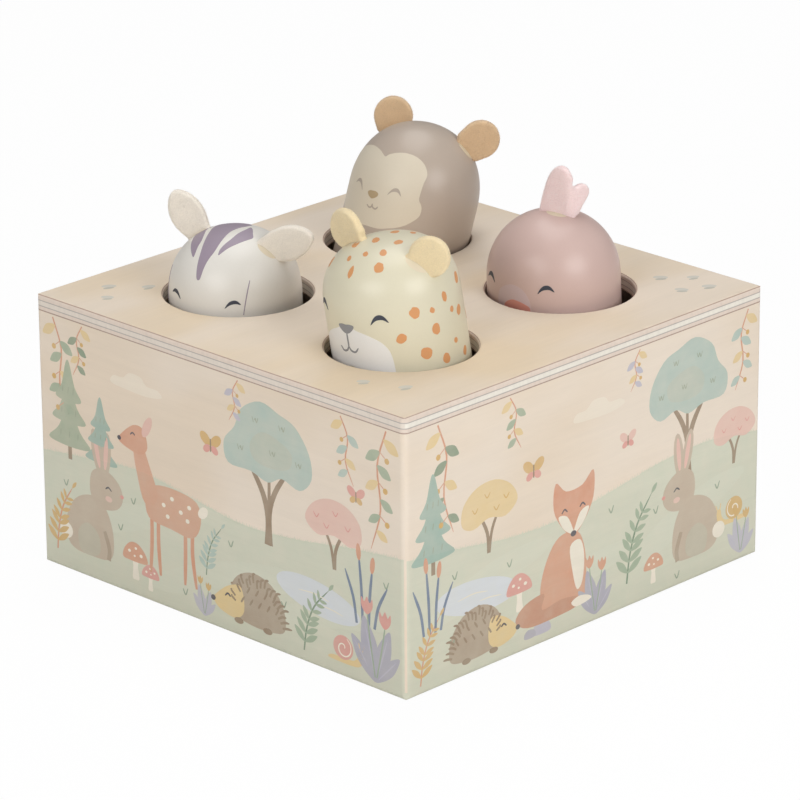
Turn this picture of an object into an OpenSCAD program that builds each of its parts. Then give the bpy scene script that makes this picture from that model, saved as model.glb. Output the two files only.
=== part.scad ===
// Pop-up animal toy: a plywood box whose top has four round holes. In each hole a
// turned wooden peg with an animal head stands on a coil spring and can be pushed in.
// Origin: centre of the underside. +Z up, the animals look towards -Y. Millimetres.

/* [Box] */
// Outside width and depth of the square box
box_w = 155; // [145:1:180]
// Height of the box with its top panel
box_h = 87; // [82:1:110]
// Thickness of the four side panels
wall_t = 5; // [4:0.5:7]
// Thickness of the top panel
top_t = 5; // [4:0.5:7]
// Thickness of the base panel
base_t = 5; // [4:0.5:7]
// Radius of the upright corners
corner_r = 2; // [1:0.25:3]
// Rounding of the top panel's upper edge
edge_r = 1.1; // [0.5:0.1:1.5]
// Rounding of the side panels' lower edge
foot_r = 1.6; // [0.5:0.1:2]
// Side of the square glue posts in the corners
post_w = 10; // [8:0.5:14]

/* [Holes] */
// Diameter of the four holes in the top panel
hole_d = 45.5; // [44.5:0.5:48]
// Distance of a hole's centre from the two nearest outside faces
hole_edge = 43.2; // [42:0.2:45]
// Rounding of a hole's upper rim
rim_r = 0.8; // [0.4:0.1:1.2]

/* [Pegs] */
// Diameter of the turned pegs
peg_d = 40.4; // [38:0.2:40.4]
// Length of a peg below the top face of the box
peg_hang = 25; // [22:1:28]
// Rounding of a peg's lower edge
peg_edge_r = 1.5; // [0.5:0.25:2.5]
// Direction in which the pegs lean, from +X towards +Y
lean_dir = 44.4; // [0:0.1:90]

/* [Monkey] */
// Height of the monkey's crown above the box, along its peg
monkey_rise = 37.3; // [30:0.1:39]
// Height of the monkey's domed part
monkey_dome = 22.4; // [18:0.1:24]
// Fullness of the monkey's dome, 2 being an ellipse
monkey_full = 2.12; // [1.9:0.01:2.8]
// Lean of the monkey's peg
monkey_lean = 13.3; // [0:0.1:14]
// Sideways place of the monkey's peg in its hole
monkey_shift = 1.7; // [0:0.1:1.8]
// Radius of the monkey's round felt ears
monkey_ear_r = 5.8; // [5:0.1:7]
// Left ear: angle round the peg, turn and roll of the felt
monkey_left = [173, 38, -25]; // [-180:0.1:180]
// Distance of the left ear from the peg's axis
monkey_left_out = 15.6; // [12:0.1:16.5]
// Right ear: angle round the peg, turn and roll of the felt
monkey_right = [33, 50, 45]; // [-180:0.1:180]
// Distance of the right ear from the peg's axis
monkey_right_out = 12.6; // [11:0.1:16]

/* [Leopard] */
// Height of the leopard's crown above the box, along its peg
leopard_rise = 33.5; // [28:0.1:39]
// Height of the leopard's domed part
leopard_dome = 18.3; // [16:0.1:24]
// Fullness of the leopard's dome, 2 being an ellipse
leopard_full = 2.43; // [1.9:0.01:2.8]
// Lean of the leopard's peg
leopard_lean = -8.1; // [-10:0.1:0]
// Sideways place of the leopard's peg in its hole
leopard_shift = -0.3; // [-1:0.1:0]
// Radius of the leopard's round felt ears
leopard_ear_r = 6.3; // [5:0.1:7]
// Left ear: angle round the peg, turn and roll of the felt
leopard_left = [-154, -2, -38]; // [-180:0.1:180]
// Distance of the left ear from the peg's axis
leopard_left_out = 9.6; // [8:0.1:16]
// Right ear: angle round the peg, turn and roll of the felt
leopard_right = [-9, 38, 62]; // [-180:0.1:180]
// Distance of the right ear from the peg's axis
leopard_right_out = 15; // [12:0.1:16]

/* [Zebra] */
// Height of the zebra's crown above the box, along its peg
zebra_rise = 20.1; // [17:0.1:39]
// Height of the zebra's domed part
zebra_dome = 20.9; // [18:0.1:22]
// Fullness of the zebra's dome, 2 being an ellipse
zebra_full = 2.25; // [1.9:0.01:2.8]
// Lean of the zebra's peg
zebra_lean = -1.5; // [-8:0.1:0]
// Sideways place of the zebra's peg in its hole
zebra_shift = -0.9; // [-1:0.1:0]
// Length of the zebra's leaf-shaped felt ears
zebra_ear_len = 15; // [12:0.5:17]
// Width of the zebra's ears
zebra_ear_w = 9.2; // [8.6:0.1:11]
// Left ear: angle round the peg, turn and roll of the felt
zebra_left = [-163, 30, -28]; // [-180:0.1:180]
// Distance of the left ear from the peg's axis
zebra_left_out = 12; // [9:0.1:15]
// Right ear: angle round the peg, turn and roll of the felt
zebra_right = [6, 30, 52]; // [-180:0.1:180]
// Distance of the right ear from the peg's axis
zebra_right_out = 13.7; // [10:0.1:15]
// Angle by which the right ear droops past its socket
zebra_droop = 19; // [0:1:30]

/* [Bird] */
// Height of the bird's crown above the box, along its peg
bird_rise = 24.6; // [20:0.1:39]
// Height of the bird's domed part
bird_dome = 20.3; // [18:0.1:24]
// Fullness of the bird's dome, 2 being an ellipse
bird_full = 2.07; // [1.9:0.01:2.8]
// Lean of the bird's peg
bird_lean = -2.2; // [-8:0.1:0]
// Sideways place of the bird's peg in its hole
bird_shift = -1.9; // [-2:0.1:0]
// Height of the tall lobe of the felt crest
crest_h = 14.5; // [12:0.5:16]
// Height of the short lobe of the felt crest
crest_low_h = 8; // [6:0.5:10]
// Width of the crest's tall lobe at its foot
crest_w = 11; // [9:0.5:12]
// Crest: angle round the peg, turn and roll of the felt
bird_crest = [-8, 14, 0]; // [-180:0.1:180]
// Distance of the crest from the peg's axis
bird_crest_out = 2.6; // [0:0.1:8]
// Angle between the two lobes of the crest, seen from above
crest_fold = 112; // [90:1:140]

/* [Felt] */
// Thickness of the felt
felt_t = 3; // [2:0.25:3.5]
// Diameter of the socket drilled for an ear
socket_d = 8.4; // [8:0.1:9]
// Depth of the socket drilled for an ear
socket_depth = 7; // [5:0.5:9]

/* [Springs] */
// Diameter of the spring wire
wire_d = 1.5; // [1.2:0.1:1.7]
// Outside diameter of a spring
spring_d = 22; // [21:0.5:24]
// Turns in a spring
spring_turns = 8; // [6:1:9]
// Depth of the bore under a peg that takes the spring
bore_depth = 12; // [9:0.5:14]
// Height of the wooden boss that the spring stands round
boss_h = 9; // [6:0.5:11]

/* [Screws] */
// Diameter of a screw's shank
screw_d = 2.8; // [2.4:0.2:3.4]
// Diameter of a screw's countersunk head
screw_head_d = 6; // [5:0.5:7]
// Length of a screw under its face
screw_len = 13; // [10.5:0.5:13.5]

/* [Clearances] */
// Gap round the base panel, inside the walls
base_gap = 0.15; // [0.1:0.05:0.3]
// Gap between a spring and the bore that takes it
spring_gap = 0.5; // [0.4:0.05:0.6]
// Gap between a spring and its boss
boss_gap = 0.3; // [0.2:0.05:0.6]
// Gap between felt, plug and socket
felt_gap = 0.1; // [0.05:0.05:0.2]
// Gap round a screw's shank and head
screw_gap = 0.1; // [0.05:0.05:0.2]

/* [Hidden] */

// The four pegs are held in this order in every list below
MONKEY = 0;
LEOPARD = 1;
ZEBRA = 2;
BIRD = 3;
half = box_w / 2;
inner = half - wall_t;
side_h = box_h - top_t;
peg_r = peg_d / 2;
socket_r = socket_d / 2;
hole_x = [-1, 1, -1, 1] * (half - hole_edge);
hole_y = [1, -1, -1, 1] * (half - hole_edge);
rise = [monkey_rise, leopard_rise, zebra_rise, bird_rise];
dome = [monkey_dome, leopard_dome, zebra_dome, bird_dome];
full = [monkey_full, leopard_full, zebra_full, bird_full];
lean = [monkey_lean, leopard_lean, zebra_lean, bird_lean];
shift = [monkey_shift, leopard_shift, zebra_shift, bird_shift];
// Place of each ear: angle, distance from the axis, turn, roll
function place(angles, out) = [angles[0], out, angles[1], angles[2]];
MONKEY_EARS = [place(monkey_left, monkey_left_out), place(monkey_right, monkey_right_out)];
LEOPARD_EARS = [place(leopard_left, leopard_left_out), place(leopard_right, leopard_right_out)];
ZEBRA_EARS = [place(zebra_left, zebra_left_out), place(zebra_right, zebra_right_out)];
BIRD_CREST = [place(bird_crest, bird_crest_out)];
// Steps of a dome's outline
dome_steps = 18;
// Overshoot of a cut past the face that it opens
over = 1;
// Bore under a peg, and the mean radius of the coil in it
bore_r = spring_d / 2 + spring_gap;
coil_r = (spring_d - wire_d) / 2;
// Rise of the spring's first and last turn, and the points and sides of its wire
end_pitch = wire_d + 0.85;
turn_rings = 8;
wire_sides = 6;
// The boss stays clear of the flats between the wire's rings
boss_r = coil_r * cos(180 / turn_rings) - wire_d / 2 - boss_gap;
// Share of the spring's length that each end runs straight on before it bends
straight = 0.45;
// Depth of a screw's head below the face, and the run of its countersink
sunk = 0.3;
cone_h = (screw_head_d - screw_d) / 2;
post_c = inner - post_w / 2;
wood = [0.87, 0.79, 0.67];
steel = [0.72, 0.73, 0.75];

// Square plate outline with round corners, from exact arcs
module rounded_square(w, r) {
    square([w, w - 2 * r], center = true);
    square([w - 2 * r, w], center = true);
    for (x = [-1, 1], y = [-1, 1]) translate([x, y] * (w / 2 - r)) circle(r, $fn = 48);
}

// Bar of one edge-rounding cutter, along X at the side -Y, its rounded edge at height 0
module edge_cut(r) {
    translate([-half - over, -half, 0]) rotate([90, 0, 90]) linear_extrude(box_w + 2 * over)
        difference() {
            translate([-over, -r]) square([r + over, r + over]);
            translate([r, -r]) circle(r, $fn = 48);
        }
}

module top_panel() {
    color(wood) difference() {
        translate([0, 0, side_h]) linear_extrude(top_t) rounded_square(box_w, corner_r);
        for (i = [0:3]) translate([hole_x[i], hole_y[i], side_h]) {
            translate([0, 0, -over]) cylinder(h = top_t + 2 * over, d = hole_d, $fn = 96);
            translate([0, 0, top_t]) rotate_extrude($fn = 96) difference() {
                translate([hole_d / 2 - over, -rim_r]) square([rim_r + over, rim_r + over]);
                translate([hole_d / 2 + rim_r, -rim_r]) circle(rim_r, $fn = 48);
            }
        }
        for (a = [0:90:270]) rotate([0, 0, a]) translate([0, 0, box_h]) edge_cut(edge_r);
    }
}

// One wall on the side -Y, mitred at both ends, with its lower outside edge rounded
module wall() {
    color(wood) difference() {
        linear_extrude(side_h) intersection() {
            difference() {
                rounded_square(box_w, corner_r);
                square(2 * inner, center = true);
            }
            polygon([[0, 0], [-box_w, -box_w], [box_w, -box_w]]);
        }
        mirror([0, 0, 1]) edge_cut(foot_r);
    }
}

module front_panel() { wall(); }
module right_panel() { rotate([0, 0, 90]) wall(); }
module back_panel() { rotate([0, 0, 180]) wall(); }
module left_panel() { rotate([0, 0, 270]) wall(); }

// Places of the screws: one under each post and one under each boss
function screw_places() = concat(
    [for (x = [-1, 1], y = [-1, 1]) [x * post_c, y * post_c]],
    [for (i = [0:3]) [hole_x[i], hole_y[i]]]);

// A countersunk screw, its face at height 0 and its point up; gap widens it for its hole
module screw_form(gap = 0) {
    cylinder(h = cone_h, r1 = screw_head_d / 2 + gap, r2 = screw_d / 2 + gap, $fn = 32);
    cylinder(h = screw_len + (gap > 0 ? over : 0), d = screw_d + 2 * gap, $fn = 32);
}

module base_screws() {
    color(steel) for (p = screw_places()) translate([p[0], p[1], sunk]) difference() {
        screw_form();
        for (a = [0, 90]) rotate([0, 0, a]) cube([screw_d * 1.1, 0.8, 2 * cone_h], center = true);
    }
}

module screw_holes() {
    for (p = screw_places()) translate([p[0], p[1], sunk]) {
        screw_form(screw_gap);
        translate([0, 0, -over]) cylinder(h = over + 0.01, r = screw_head_d / 2 + screw_gap, $fn = 32);
    }
}

module base_panel() {
    color([0.84, 0.74, 0.6]) difference() {
        linear_extrude(base_t) square(2 * (inner - base_gap), center = true);
        screw_holes();
    }
}

// A square glue post in the corner given by the signs x and y
module post(x, y) {
    color([0.83, 0.73, 0.58]) difference() {
        translate([x * post_c, y * post_c, (side_h + base_t) / 2])
            cube([post_w, post_w, side_h - base_t], center = true);
        screw_holes();
    }
}

// Round boss on the base that a spring's lowest turns stand round
module boss(i) {
    color([0.8, 0.69, 0.53]) difference() {
        translate([hole_x[i], hole_y[i], base_t]) rotate_extrude($fn = 48) polygon([[0, 0],
            [boss_r, 0], [boss_r, boss_h - 1], [boss_r - 1, boss_h], [0, boss_h]]);
        screw_holes();
    }
}

// Moves its children into the frame of peg i: origin on the box's top face, +Z along the peg
function lean_axis(i) = [sin(lean[i]) * cos(lean_dir), sin(lean[i]) * sin(lean_dir), cos(lean[i])];
function peg_origin(i) = [hole_x[i] + shift[i] * cos(lean_dir),
    hole_y[i] + shift[i] * sin(lean_dir), box_h];
module in_peg(i) {
    translate(peg_origin(i)) rotate([0, 0, lean_dir]) rotate([0, lean[i], 0])
        rotate([0, 0, -lean_dir]) children();
}

// Height of peg i's surface at the distance r from its axis
function dome_z(i, r) = rise[i] - dome[i]
    + dome[i] * pow(1 - pow(r / peg_r, full[i]), 1 / full[i]);

// Turned outline of peg i, in the peg's frame; grow makes it larger all round the dome
module peg_shape(i, grow = 0) {
    r = peg_r + grow;
    p = 2 / full[i];
    rotate_extrude($fn = 96) polygon(concat(
        [[0, -peg_hang], [r - peg_edge_r, -peg_hang], [r, peg_edge_r - peg_hang]],
        [for (k = [0:dome_steps - 1]) let (t = 90 * k / dome_steps)
            [r * pow(cos(t), p), rise[i] - dome[i] + (dome[i] + grow) * pow(sin(t), p)]],
        [[0, rise[i] + grow]]));
}

// Moves its children to an ear's socket: +Z out along the socket, the felt across Y
module at_ear(i, ear) {
    in_peg(i) translate([ear[1] * cos(ear[0]), ear[1] * sin(ear[0]), dome_z(i, ear[1])])
        rotate([0, 0, ear[2]]) rotate([0, ear[3], 0]) children();
}

module socket(i, ear) {
    at_ear(i, ear) translate([0, 0, -socket_depth])
        cylinder(h = socket_depth + socket_r * 2, r = socket_r, $fn = 48);
}

module head(i, ears) {
    difference() {
        in_peg(i) peg_shape(i);
        in_peg(i) translate([0, 0, -peg_hang - over])
            cylinder(h = bore_depth + over, r = bore_r, $fn = 96);
        for (ear = ears) socket(i, ear);
    }
}

// Felt stands in the back part of its socket, from just in front of the socket's axis
felt_front = -felt_t * 0.1;
module felt_plate() {
    translate([0, felt_front + felt_t, 0]) rotate([90, 0, 0]) linear_extrude(felt_t) children();
}

// One ear: the children's outline as a plate outside the head, and a tab in the socket
module ear(i, ear) {
    difference() {
        at_ear(i, ear) felt_plate() children();
        in_peg(i) peg_shape(i, felt_gap);
    }
    at_ear(i, ear) intersection() {
        translate([0, 0, -socket_depth + felt_gap])
            cylinder(h = socket_depth + felt_t, r = socket_r - felt_gap, $fn = 48);
        translate([-socket_r, felt_front, -socket_depth]) cube([socket_d, felt_t, 2 * socket_d]);
    }
}

// Round ear: a disc that springs from the socket
module round_ear(r) {
    translate([0, r * 0.76]) circle(r, $fn = 64);
}

// Leaf-shaped ear, widest in its middle, with a round tip
module leaf_ear(droop) {
    tip_r = zebra_ear_w * 0.24;
    rotate(-droop) hull() {
        translate([0, zebra_ear_len * 0.45]) circle(zebra_ear_w / 2, $fn = 32);
        translate([0, zebra_ear_len - tip_r]) circle(tip_r, $fn = 32);
        translate([0, 1]) circle(socket_r - felt_gap, $fn = 32);
    }
}

// Plug of bare wood that wedges the felt, finished flush with the head
module plug(i, ear) {
    color([0.9, 0.83, 0.7]) intersection() {
        at_ear(i, ear) intersection() {
            translate([0, 0, -socket_depth + felt_gap])
                cylinder(h = socket_depth + socket_d, r = socket_r - felt_gap, $fn = 48);
            translate([-socket_r, felt_front - felt_gap - socket_d, -socket_depth])
                cube([socket_d, socket_d, 3 * socket_d]);
        }
        in_peg(i) peg_shape(i);
    }
}

module monkey_head() { color([0.73, 0.66, 0.6]) head(MONKEY, MONKEY_EARS); }
module leopard_head() { color([0.9, 0.87, 0.75]) head(LEOPARD, LEOPARD_EARS); }
module zebra_head() { color([0.88, 0.87, 0.83]) head(ZEBRA, ZEBRA_EARS); }
module bird_head() { color([0.8, 0.68, 0.64]) head(BIRD, BIRD_CREST); }

module monkey_felt(place) { color([0.8, 0.66, 0.5]) ear(MONKEY, place) round_ear(monkey_ear_r); }
module leopard_felt(place) { color([0.89, 0.81, 0.62]) ear(LEOPARD, place) round_ear(leopard_ear_r); }
module zebra_felt(place, droop) { color([0.88, 0.83, 0.76]) ear(ZEBRA, place) leaf_ear(droop); }

// Crest: a heart-shaped felt folded down its middle, the short lobe turned back
module bird_crest_felt() {
    lobe_r = crest_h * 0.28;
    low_r = crest_low_h * 0.38;
    lobe_x = crest_w * 0.1;
    foot_x = crest_w * 0.44;
    color([0.92, 0.78, 0.78]) {
        ear(BIRD, BIRD_CREST[0]) hull() {
            translate([lobe_x, crest_h - lobe_r]) circle(lobe_r, $fn = 32);
            translate([foot_x - crest_w, 0]) square([crest_w, 1]);
        }
        difference() {
            at_ear(BIRD, BIRD_CREST[0]) translate([foot_x - felt_t, felt_front + felt_t, 0])
                rotate([0, 0, 180 - crest_fold]) felt_plate() hull() {
                    translate([crest_low_h * 0.62, crest_low_h - low_r]) circle(low_r, $fn = 32);
                    translate([-felt_t / 2, 0]) square([felt_t, crest_low_h * 0.8]);
                }
            in_peg(BIRD) peg_shape(BIRD, felt_gap);
        }
    }
}

// Coil spring: its centre line runs straight up from the boss and turns into the leaning peg
function bezier(p, t) = pow(1 - t, 3) * p[0] + 3 * t * pow(1 - t, 2) * p[1]
    + 3 * t * t * (1 - t) * p[2] + pow(t, 3) * p[3];
function unit(v) = v / norm(v);
function spring_low(i) = [hole_x[i], hole_y[i], base_t + wire_d / 2 + felt_gap];
function spring_high(i) = peg_origin(i)
    + lean_axis(i) * (bore_depth - peg_hang - wire_d / 2 - spring_gap);
function spring_line(i) = let (a = spring_low(i), b = spring_high(i), h = norm(b - a) * straight)
    [a, a + [0, 0, h], b - lean_axis(i) * h, b];
// Share of the height reached after the share g of the turns, slow in the end turns
function climb(g, l) = let (e = 1 / spring_turns, c = end_pitch / l)
    g < e ? g / e * c : g > 1 - e ? 1 - (1 - g) / e * c : c + (g - e) / (1 - 2 * e) * (1 - 2 * c);
function coil_point(i, g) = let (
        p = spring_line(i),
        l = norm(p[3] - p[0]),
        t = climb(g, l),
        d = unit(bezier(p, t + 0.005) - bezier(p, t - 0.005)),
        x = unit([1, 0, 0] - d * d[0]),
        y = cross(d, x),
        a = 360 * spring_turns * g)
    bezier(p, t) + coil_r * (x * cos(a) + y * sin(a));
function coil_centre(i, g) = let (p = spring_line(i)) bezier(p, climb(g, norm(p[3] - p[0])));
function coil_ring(i, g) = let (
        c = coil_point(i, g),
        d = unit(coil_point(i, g + 0.001) - coil_point(i, g - 0.001)),
        o = unit(c - coil_centre(i, g)),
        n = unit(o - d * (o * d)),
        b = cross(d, n))
    [for (k = [0:wire_sides - 1]) let (a = 360 * k / wire_sides)
        c + wire_d / 2 * (n * cos(a) + b * sin(a))];

module spring(i) {
    last = spring_turns * turn_rings;
    s = wire_sides;
    rings = [for (k = [0:last]) coil_ring(i, k / last)];
    middles = [for (k = [0:last]) coil_point(i, k / last)];
    // Least distance between wire centres at least half a turn apart, less the wire
    gap = min([for (j = [0:last], k = [j + turn_rings / 2:1:last]) norm(middles[j] - middles[k])])
        - wire_d;
    echo(str("spring ", i, " least gap to itself, mm: ", gap));
    color(steel) polyhedron(
        points = [for (ring = rings, p = ring) p],
        faces = concat(
            [for (k = [1:s - 2]) [0, k, k + 1]],
            [for (k = [1:s - 2]) [last * s, last * s + k + 1, last * s + k]],
            [for (j = [0:last - 1], k = [0:s - 1]) [j * s + k, (j + 1) * s + (k + 1) % s, j * s + (k + 1) % s]],
            [for (j = [0:last - 1], k = [0:s - 1]) [j * s + k, (j + 1) * s + k, (j + 1) * s + (k + 1) % s]]),
        convexity = 10);
}

top_panel();
front_panel();
back_panel();
left_panel();
right_panel();
base_panel();
post(-1, -1);  // front_left_post
post(1, -1);  // front_right_post
post(-1, 1);  // back_left_post
post(1, 1);  // back_right_post
base_screws();
boss(MONKEY);  // monkey_boss
boss(LEOPARD);  // leopard_boss
boss(ZEBRA);  // zebra_boss
boss(BIRD);  // bird_boss
spring(MONKEY);  // monkey_spring
spring(LEOPARD);  // leopard_spring
spring(ZEBRA);  // zebra_spring
spring(BIRD);  // bird_spring
monkey_head();
leopard_head();
zebra_head();
bird_head();
monkey_felt(MONKEY_EARS[0]);  // monkey_left_ear
monkey_felt(MONKEY_EARS[1]);  // monkey_right_ear
leopard_felt(LEOPARD_EARS[0]);  // leopard_left_ear
leopard_felt(LEOPARD_EARS[1]);  // leopard_right_ear
zebra_felt(ZEBRA_EARS[0], 0);  // zebra_left_ear
zebra_felt(ZEBRA_EARS[1], zebra_droop);  // zebra_right_ear
bird_crest_felt();  // bird_crest
plug(MONKEY, MONKEY_EARS[0]);  // monkey_left_plug
plug(MONKEY, MONKEY_EARS[1]);  // monkey_right_plug
plug(LEOPARD, LEOPARD_EARS[0]);  // leopard_left_plug
plug(LEOPARD, LEOPARD_EARS[1]);  // leopard_right_plug
plug(ZEBRA, ZEBRA_EARS[0]);  // zebra_left_plug
plug(ZEBRA, ZEBRA_EARS[1]);  // zebra_right_plug
plug(BIRD, BIRD_CREST[0]);  // bird_crest_plug
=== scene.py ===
"""Pop-up animal toy: finishes and fine pieces round the fixed CAD frame.

Lengths are in millimetres until a mesh is made. The box stands on z = 0, its front wall faces -Y.
"""

import math
import random

import bpy
import numpy as np
from mathutils import Matrix, Vector
from mathutils.geometry import delaunay_2d_cdt, tessellate_polygon


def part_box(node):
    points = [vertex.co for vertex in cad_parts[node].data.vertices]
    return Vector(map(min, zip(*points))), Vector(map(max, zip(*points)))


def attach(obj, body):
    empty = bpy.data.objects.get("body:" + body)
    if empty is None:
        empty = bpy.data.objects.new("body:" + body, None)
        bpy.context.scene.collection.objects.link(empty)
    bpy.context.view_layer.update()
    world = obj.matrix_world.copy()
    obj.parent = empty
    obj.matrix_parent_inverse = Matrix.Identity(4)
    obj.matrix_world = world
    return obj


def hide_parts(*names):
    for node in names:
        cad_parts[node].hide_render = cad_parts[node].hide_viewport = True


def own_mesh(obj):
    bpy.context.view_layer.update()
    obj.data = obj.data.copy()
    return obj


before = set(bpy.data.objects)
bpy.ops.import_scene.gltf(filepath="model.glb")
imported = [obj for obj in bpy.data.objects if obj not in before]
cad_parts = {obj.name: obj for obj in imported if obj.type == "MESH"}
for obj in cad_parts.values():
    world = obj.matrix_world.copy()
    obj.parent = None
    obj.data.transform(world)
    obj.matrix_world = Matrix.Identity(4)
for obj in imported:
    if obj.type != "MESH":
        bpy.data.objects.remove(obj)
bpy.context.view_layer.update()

bl_info = {
    "name": "Pop-up animal toy",
    "version": (1, 0, 0),
    "blender": (4, 5, 0),
    "location": "3D View > Sidebar > Pop-up Toy",
    "description": "Builds the finishes and fine pieces of a wooden pop-up toy",
    "category": "Add Mesh",
}

MM = 0.001

# Box
BOX_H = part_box("top_panel")[1].z / MM
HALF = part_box("top_panel")[1].x / MM
SIDE_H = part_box("top_panel")[0].z / MM
BASE_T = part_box("base_panel")[1].z / MM

# Pegs: where the hole is, crown over the top face, height and fullness of the dome, lean, shift
LEAN_DIR = 44.4
PEG_R = 20.2
PEG_HANG = 25.0
BORE_R = 11.5
BORE_DEPTH = 12.0
PEGS = {
    "monkey": dict(hole=(-34.3, 34.3), rise=37.3, dome=22.4, full=2.12, lean=13.3, shift=1.7),
    "leopard": dict(hole=(34.3, -34.3), rise=33.5, dome=18.3, full=2.43, lean=-8.1, shift=-0.3),
    "zebra": dict(hole=(-34.3, -34.3), rise=20.1, dome=20.9, full=2.25, lean=-1.5, shift=-0.9),
    "bird": dict(hole=(34.3, 34.3), rise=24.6, dome=20.3, full=2.07, lean=-2.2, shift=-1.9),
}
# Ears: angle round the peg, distance from its axis, turn and roll of the socket
EARS = {
    "monkey_left_ear": ("monkey", 173, 15.6, 38, -25),
    "monkey_right_ear": ("monkey", 33, 12.6, 50, 45),
    "leopard_left_ear": ("leopard", -154, 9.6, -2, -38),
    "leopard_right_ear": ("leopard", -9, 15.9, 27, 64),
    "zebra_left_ear": ("zebra", -163, 12, 30, -28),
    "zebra_right_ear": ("zebra", 6, 13.7, 30, 52),
    "bird_crest": ("bird", -8, 2.6, 14, 0),
}
# Round ears: the disc's centre in its plate and its radius
DISCS = {
    "monkey_left_ear": (0.7, 4.2, 6.05),
    "monkey_right_ear": (0, 5.4, 6.05),
    "leopard_left_ear": (-0.5, 4.6, 6.2),
    "leopard_right_ear": (0, 3.6, 6.15),
}
SOCKET_R = 4.1
FELT_T = 3.0
FELT_MIDDLE = 1.2
# Coats: where a coat starts under its surface, and how far paint, and a line over it, stand out
SINK = -0.12
COAT = 0.05
LINE = 0.09
# Printed ground: stops of the ramp that holds its upper edge, the height that is its white, the
# height of the bare arris at the foot, how ragged the edge is, and the depths where the print fades
EDGE_STOPS = 30
EDGE_TOP = 100
ARRIS = 2.6
RAGGED = 1.1
FACE_FADE = (0.4, 0.28)
# Walls: how far the motifs keep from the corners, and the height from which branches hang
MARGIN = 2.4
EAVES = 81.3
# Camera: angles in radians, lengths in widths of the box, focal length in pixels of the picture
AZIMUTH, ELEVATION, ROLL = 0.775412209, 0.359977075, -0.00730623152
AWAY, SHIFT_X, SHIFT_Y, BOX_RISE = 9.75916181, -0.000754577827, 0.0470073679, 0.562627679
FOCAL, PICTURE, SENSOR = 4972.1757, 800, 36
# Softboxes round a point over the floor, in metres: turn from the camera's side and rise in
# degrees, distance, width, height and power
SOFTBOXES = {
    "right_softbox": (42, 25, 1.1, 0.72, 0.6, 5.2),
    "left_softbox": (-35, 25, 1.1, 0.7, 0.6, 4.1),
    "top_softbox": (175, 74, 1.3, 0.9, 1.5, 8.7),
}
LAMPS_RISE = 0.09
# Relief of the finishes, in metres
WOOD_RELIEF, PAINT_RELIEF, FELT_RELIEF, STEEL_RELIEF = 0.00012, 0.00006, 0.0005, 0.00003
# Share of the sky's light that falls on the toy, and of the floor that shows as plain white
SKY_SHARE = 0.27
WHITE_SHARE = 0.96


def rgb(r, g, b):
    """Linear colour from the numbers of a colour chart, 0 to 255."""
    return tuple(
        (c / 12.92 if c <= 0.04045 else ((c + 0.055) / 1.055) ** 2.4)
        for c in (r / 255, g / 255, b / 255)
    )


# ---------------------------------------------------------------- settings


def colour(name, about, value):
    return bpy.props.FloatVectorProperty(
        name=name, description=about, default=value, min=0, max=1, subtype="COLOR"
    )


def length(name, about, value_mm):
    return bpy.props.FloatProperty(
        name=name, description=about, default=value_mm * MM, min=0, unit="LENGTH", precision=5
    )


class ToyWood(bpy.types.PropertyGroup):
    """Colours of the bare wood"""

    veneer: colour("Veneer", "Pale face of the plywood", rgb(233, 219, 202))
    warm: colour("Warm veneer", "Warmer patches of the plywood's face", rgb(229, 212, 191))
    honey: colour("Honey veneer", "Warmest patches of the top", rgb(229, 209, 180))
    core: colour("Core ply", "Bright middle ply at the panel's edge", rgb(236, 230, 218))
    cross: colour("Cross ply", "Pinkish plies beside the core", rgb(226, 210, 196))
    glue: colour("Glue line", "Brown lines between the plies", rgb(178, 152, 136))
    post: colour("Posts", "Glue posts and spring bosses", rgb(214, 186, 146))


class ToyPaint(bpy.types.PropertyGroup):
    """Colours of the painted heads"""

    monkey: colour("Monkey", "Taupe of the monkey", rgb(186, 171, 157))
    mask: colour("Mask", "Beige of the monkey's face", rgb(219, 208, 188))
    leopard: colour("Leopard", "Cream of the leopard", rgb(221, 214, 189))
    zebra: colour("Zebra", "Off-white of the zebra", rgb(228, 224, 216))
    bird: colour("Bird", "Dusty pink of the bird", rgb(207, 180, 172))
    dark: colour("Eyes", "Slate of the closed eyes", rgb(62, 66, 76))
    stripe: colour("Stripes", "Purple grey of the zebra's stripes", rgb(158, 144, 158))
    spot: colour("Spots", "Orange of the leopard's spots", rgb(216, 154, 102))
    muzzle: colour("Muzzle", "Off-white of the leopard's muzzle", rgb(232, 230, 226))
    beak: colour("Beak", "Coral of the beak", rgb(216, 148, 133))
    patch: colour("Patch", "Pale mauve round the beak", rgb(208, 186, 186))
    soft: colour("Soft line", "Taupe of the monkey's eyes and mouth", rgb(180, 166, 152))
    nose: colour("Nose", "Ochre of the monkey's nose", rgb(182, 160, 126))
    snout: colour("Snout", "Grey of the leopard's nose", rgb(142, 142, 144))


class ToyFelt(bpy.types.PropertyGroup):
    """Colours and fibres of the felt"""

    monkey: colour("Monkey ears", "Tan felt", rgb(225, 192, 152))
    leopard: colour("Leopard ears", "Pale yellow felt", rgb(247, 227, 184))
    zebra: colour("Zebra ears", "Beige felt", rgb(248, 239, 225))
    bird: colour("Crest", "Pink felt", rgb(255, 230, 228))
    fibre: length("Fibre length", "Length of the loose fibres on the felt", 0.55)
    fibre_r: length("Fibre radius", "Half the thickness of a loose fibre", 0.022)
    density: bpy.props.FloatProperty(
        name="Fibres", description="Loose fibres on a square metre", default=7.0e6, min=0
    )


class ToySprings(bpy.types.PropertyGroup):
    """Sizes of the coil springs"""

    coil_r: length("Coil radius", "From the spring's middle to the wire's middle", 10.25)
    wire_r: length("Wire radius", "Half the thickness of the wire", 0.75)
    turns: bpy.props.IntProperty(name="Turns", description="Turns of a spring", default=8, min=2)


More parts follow.
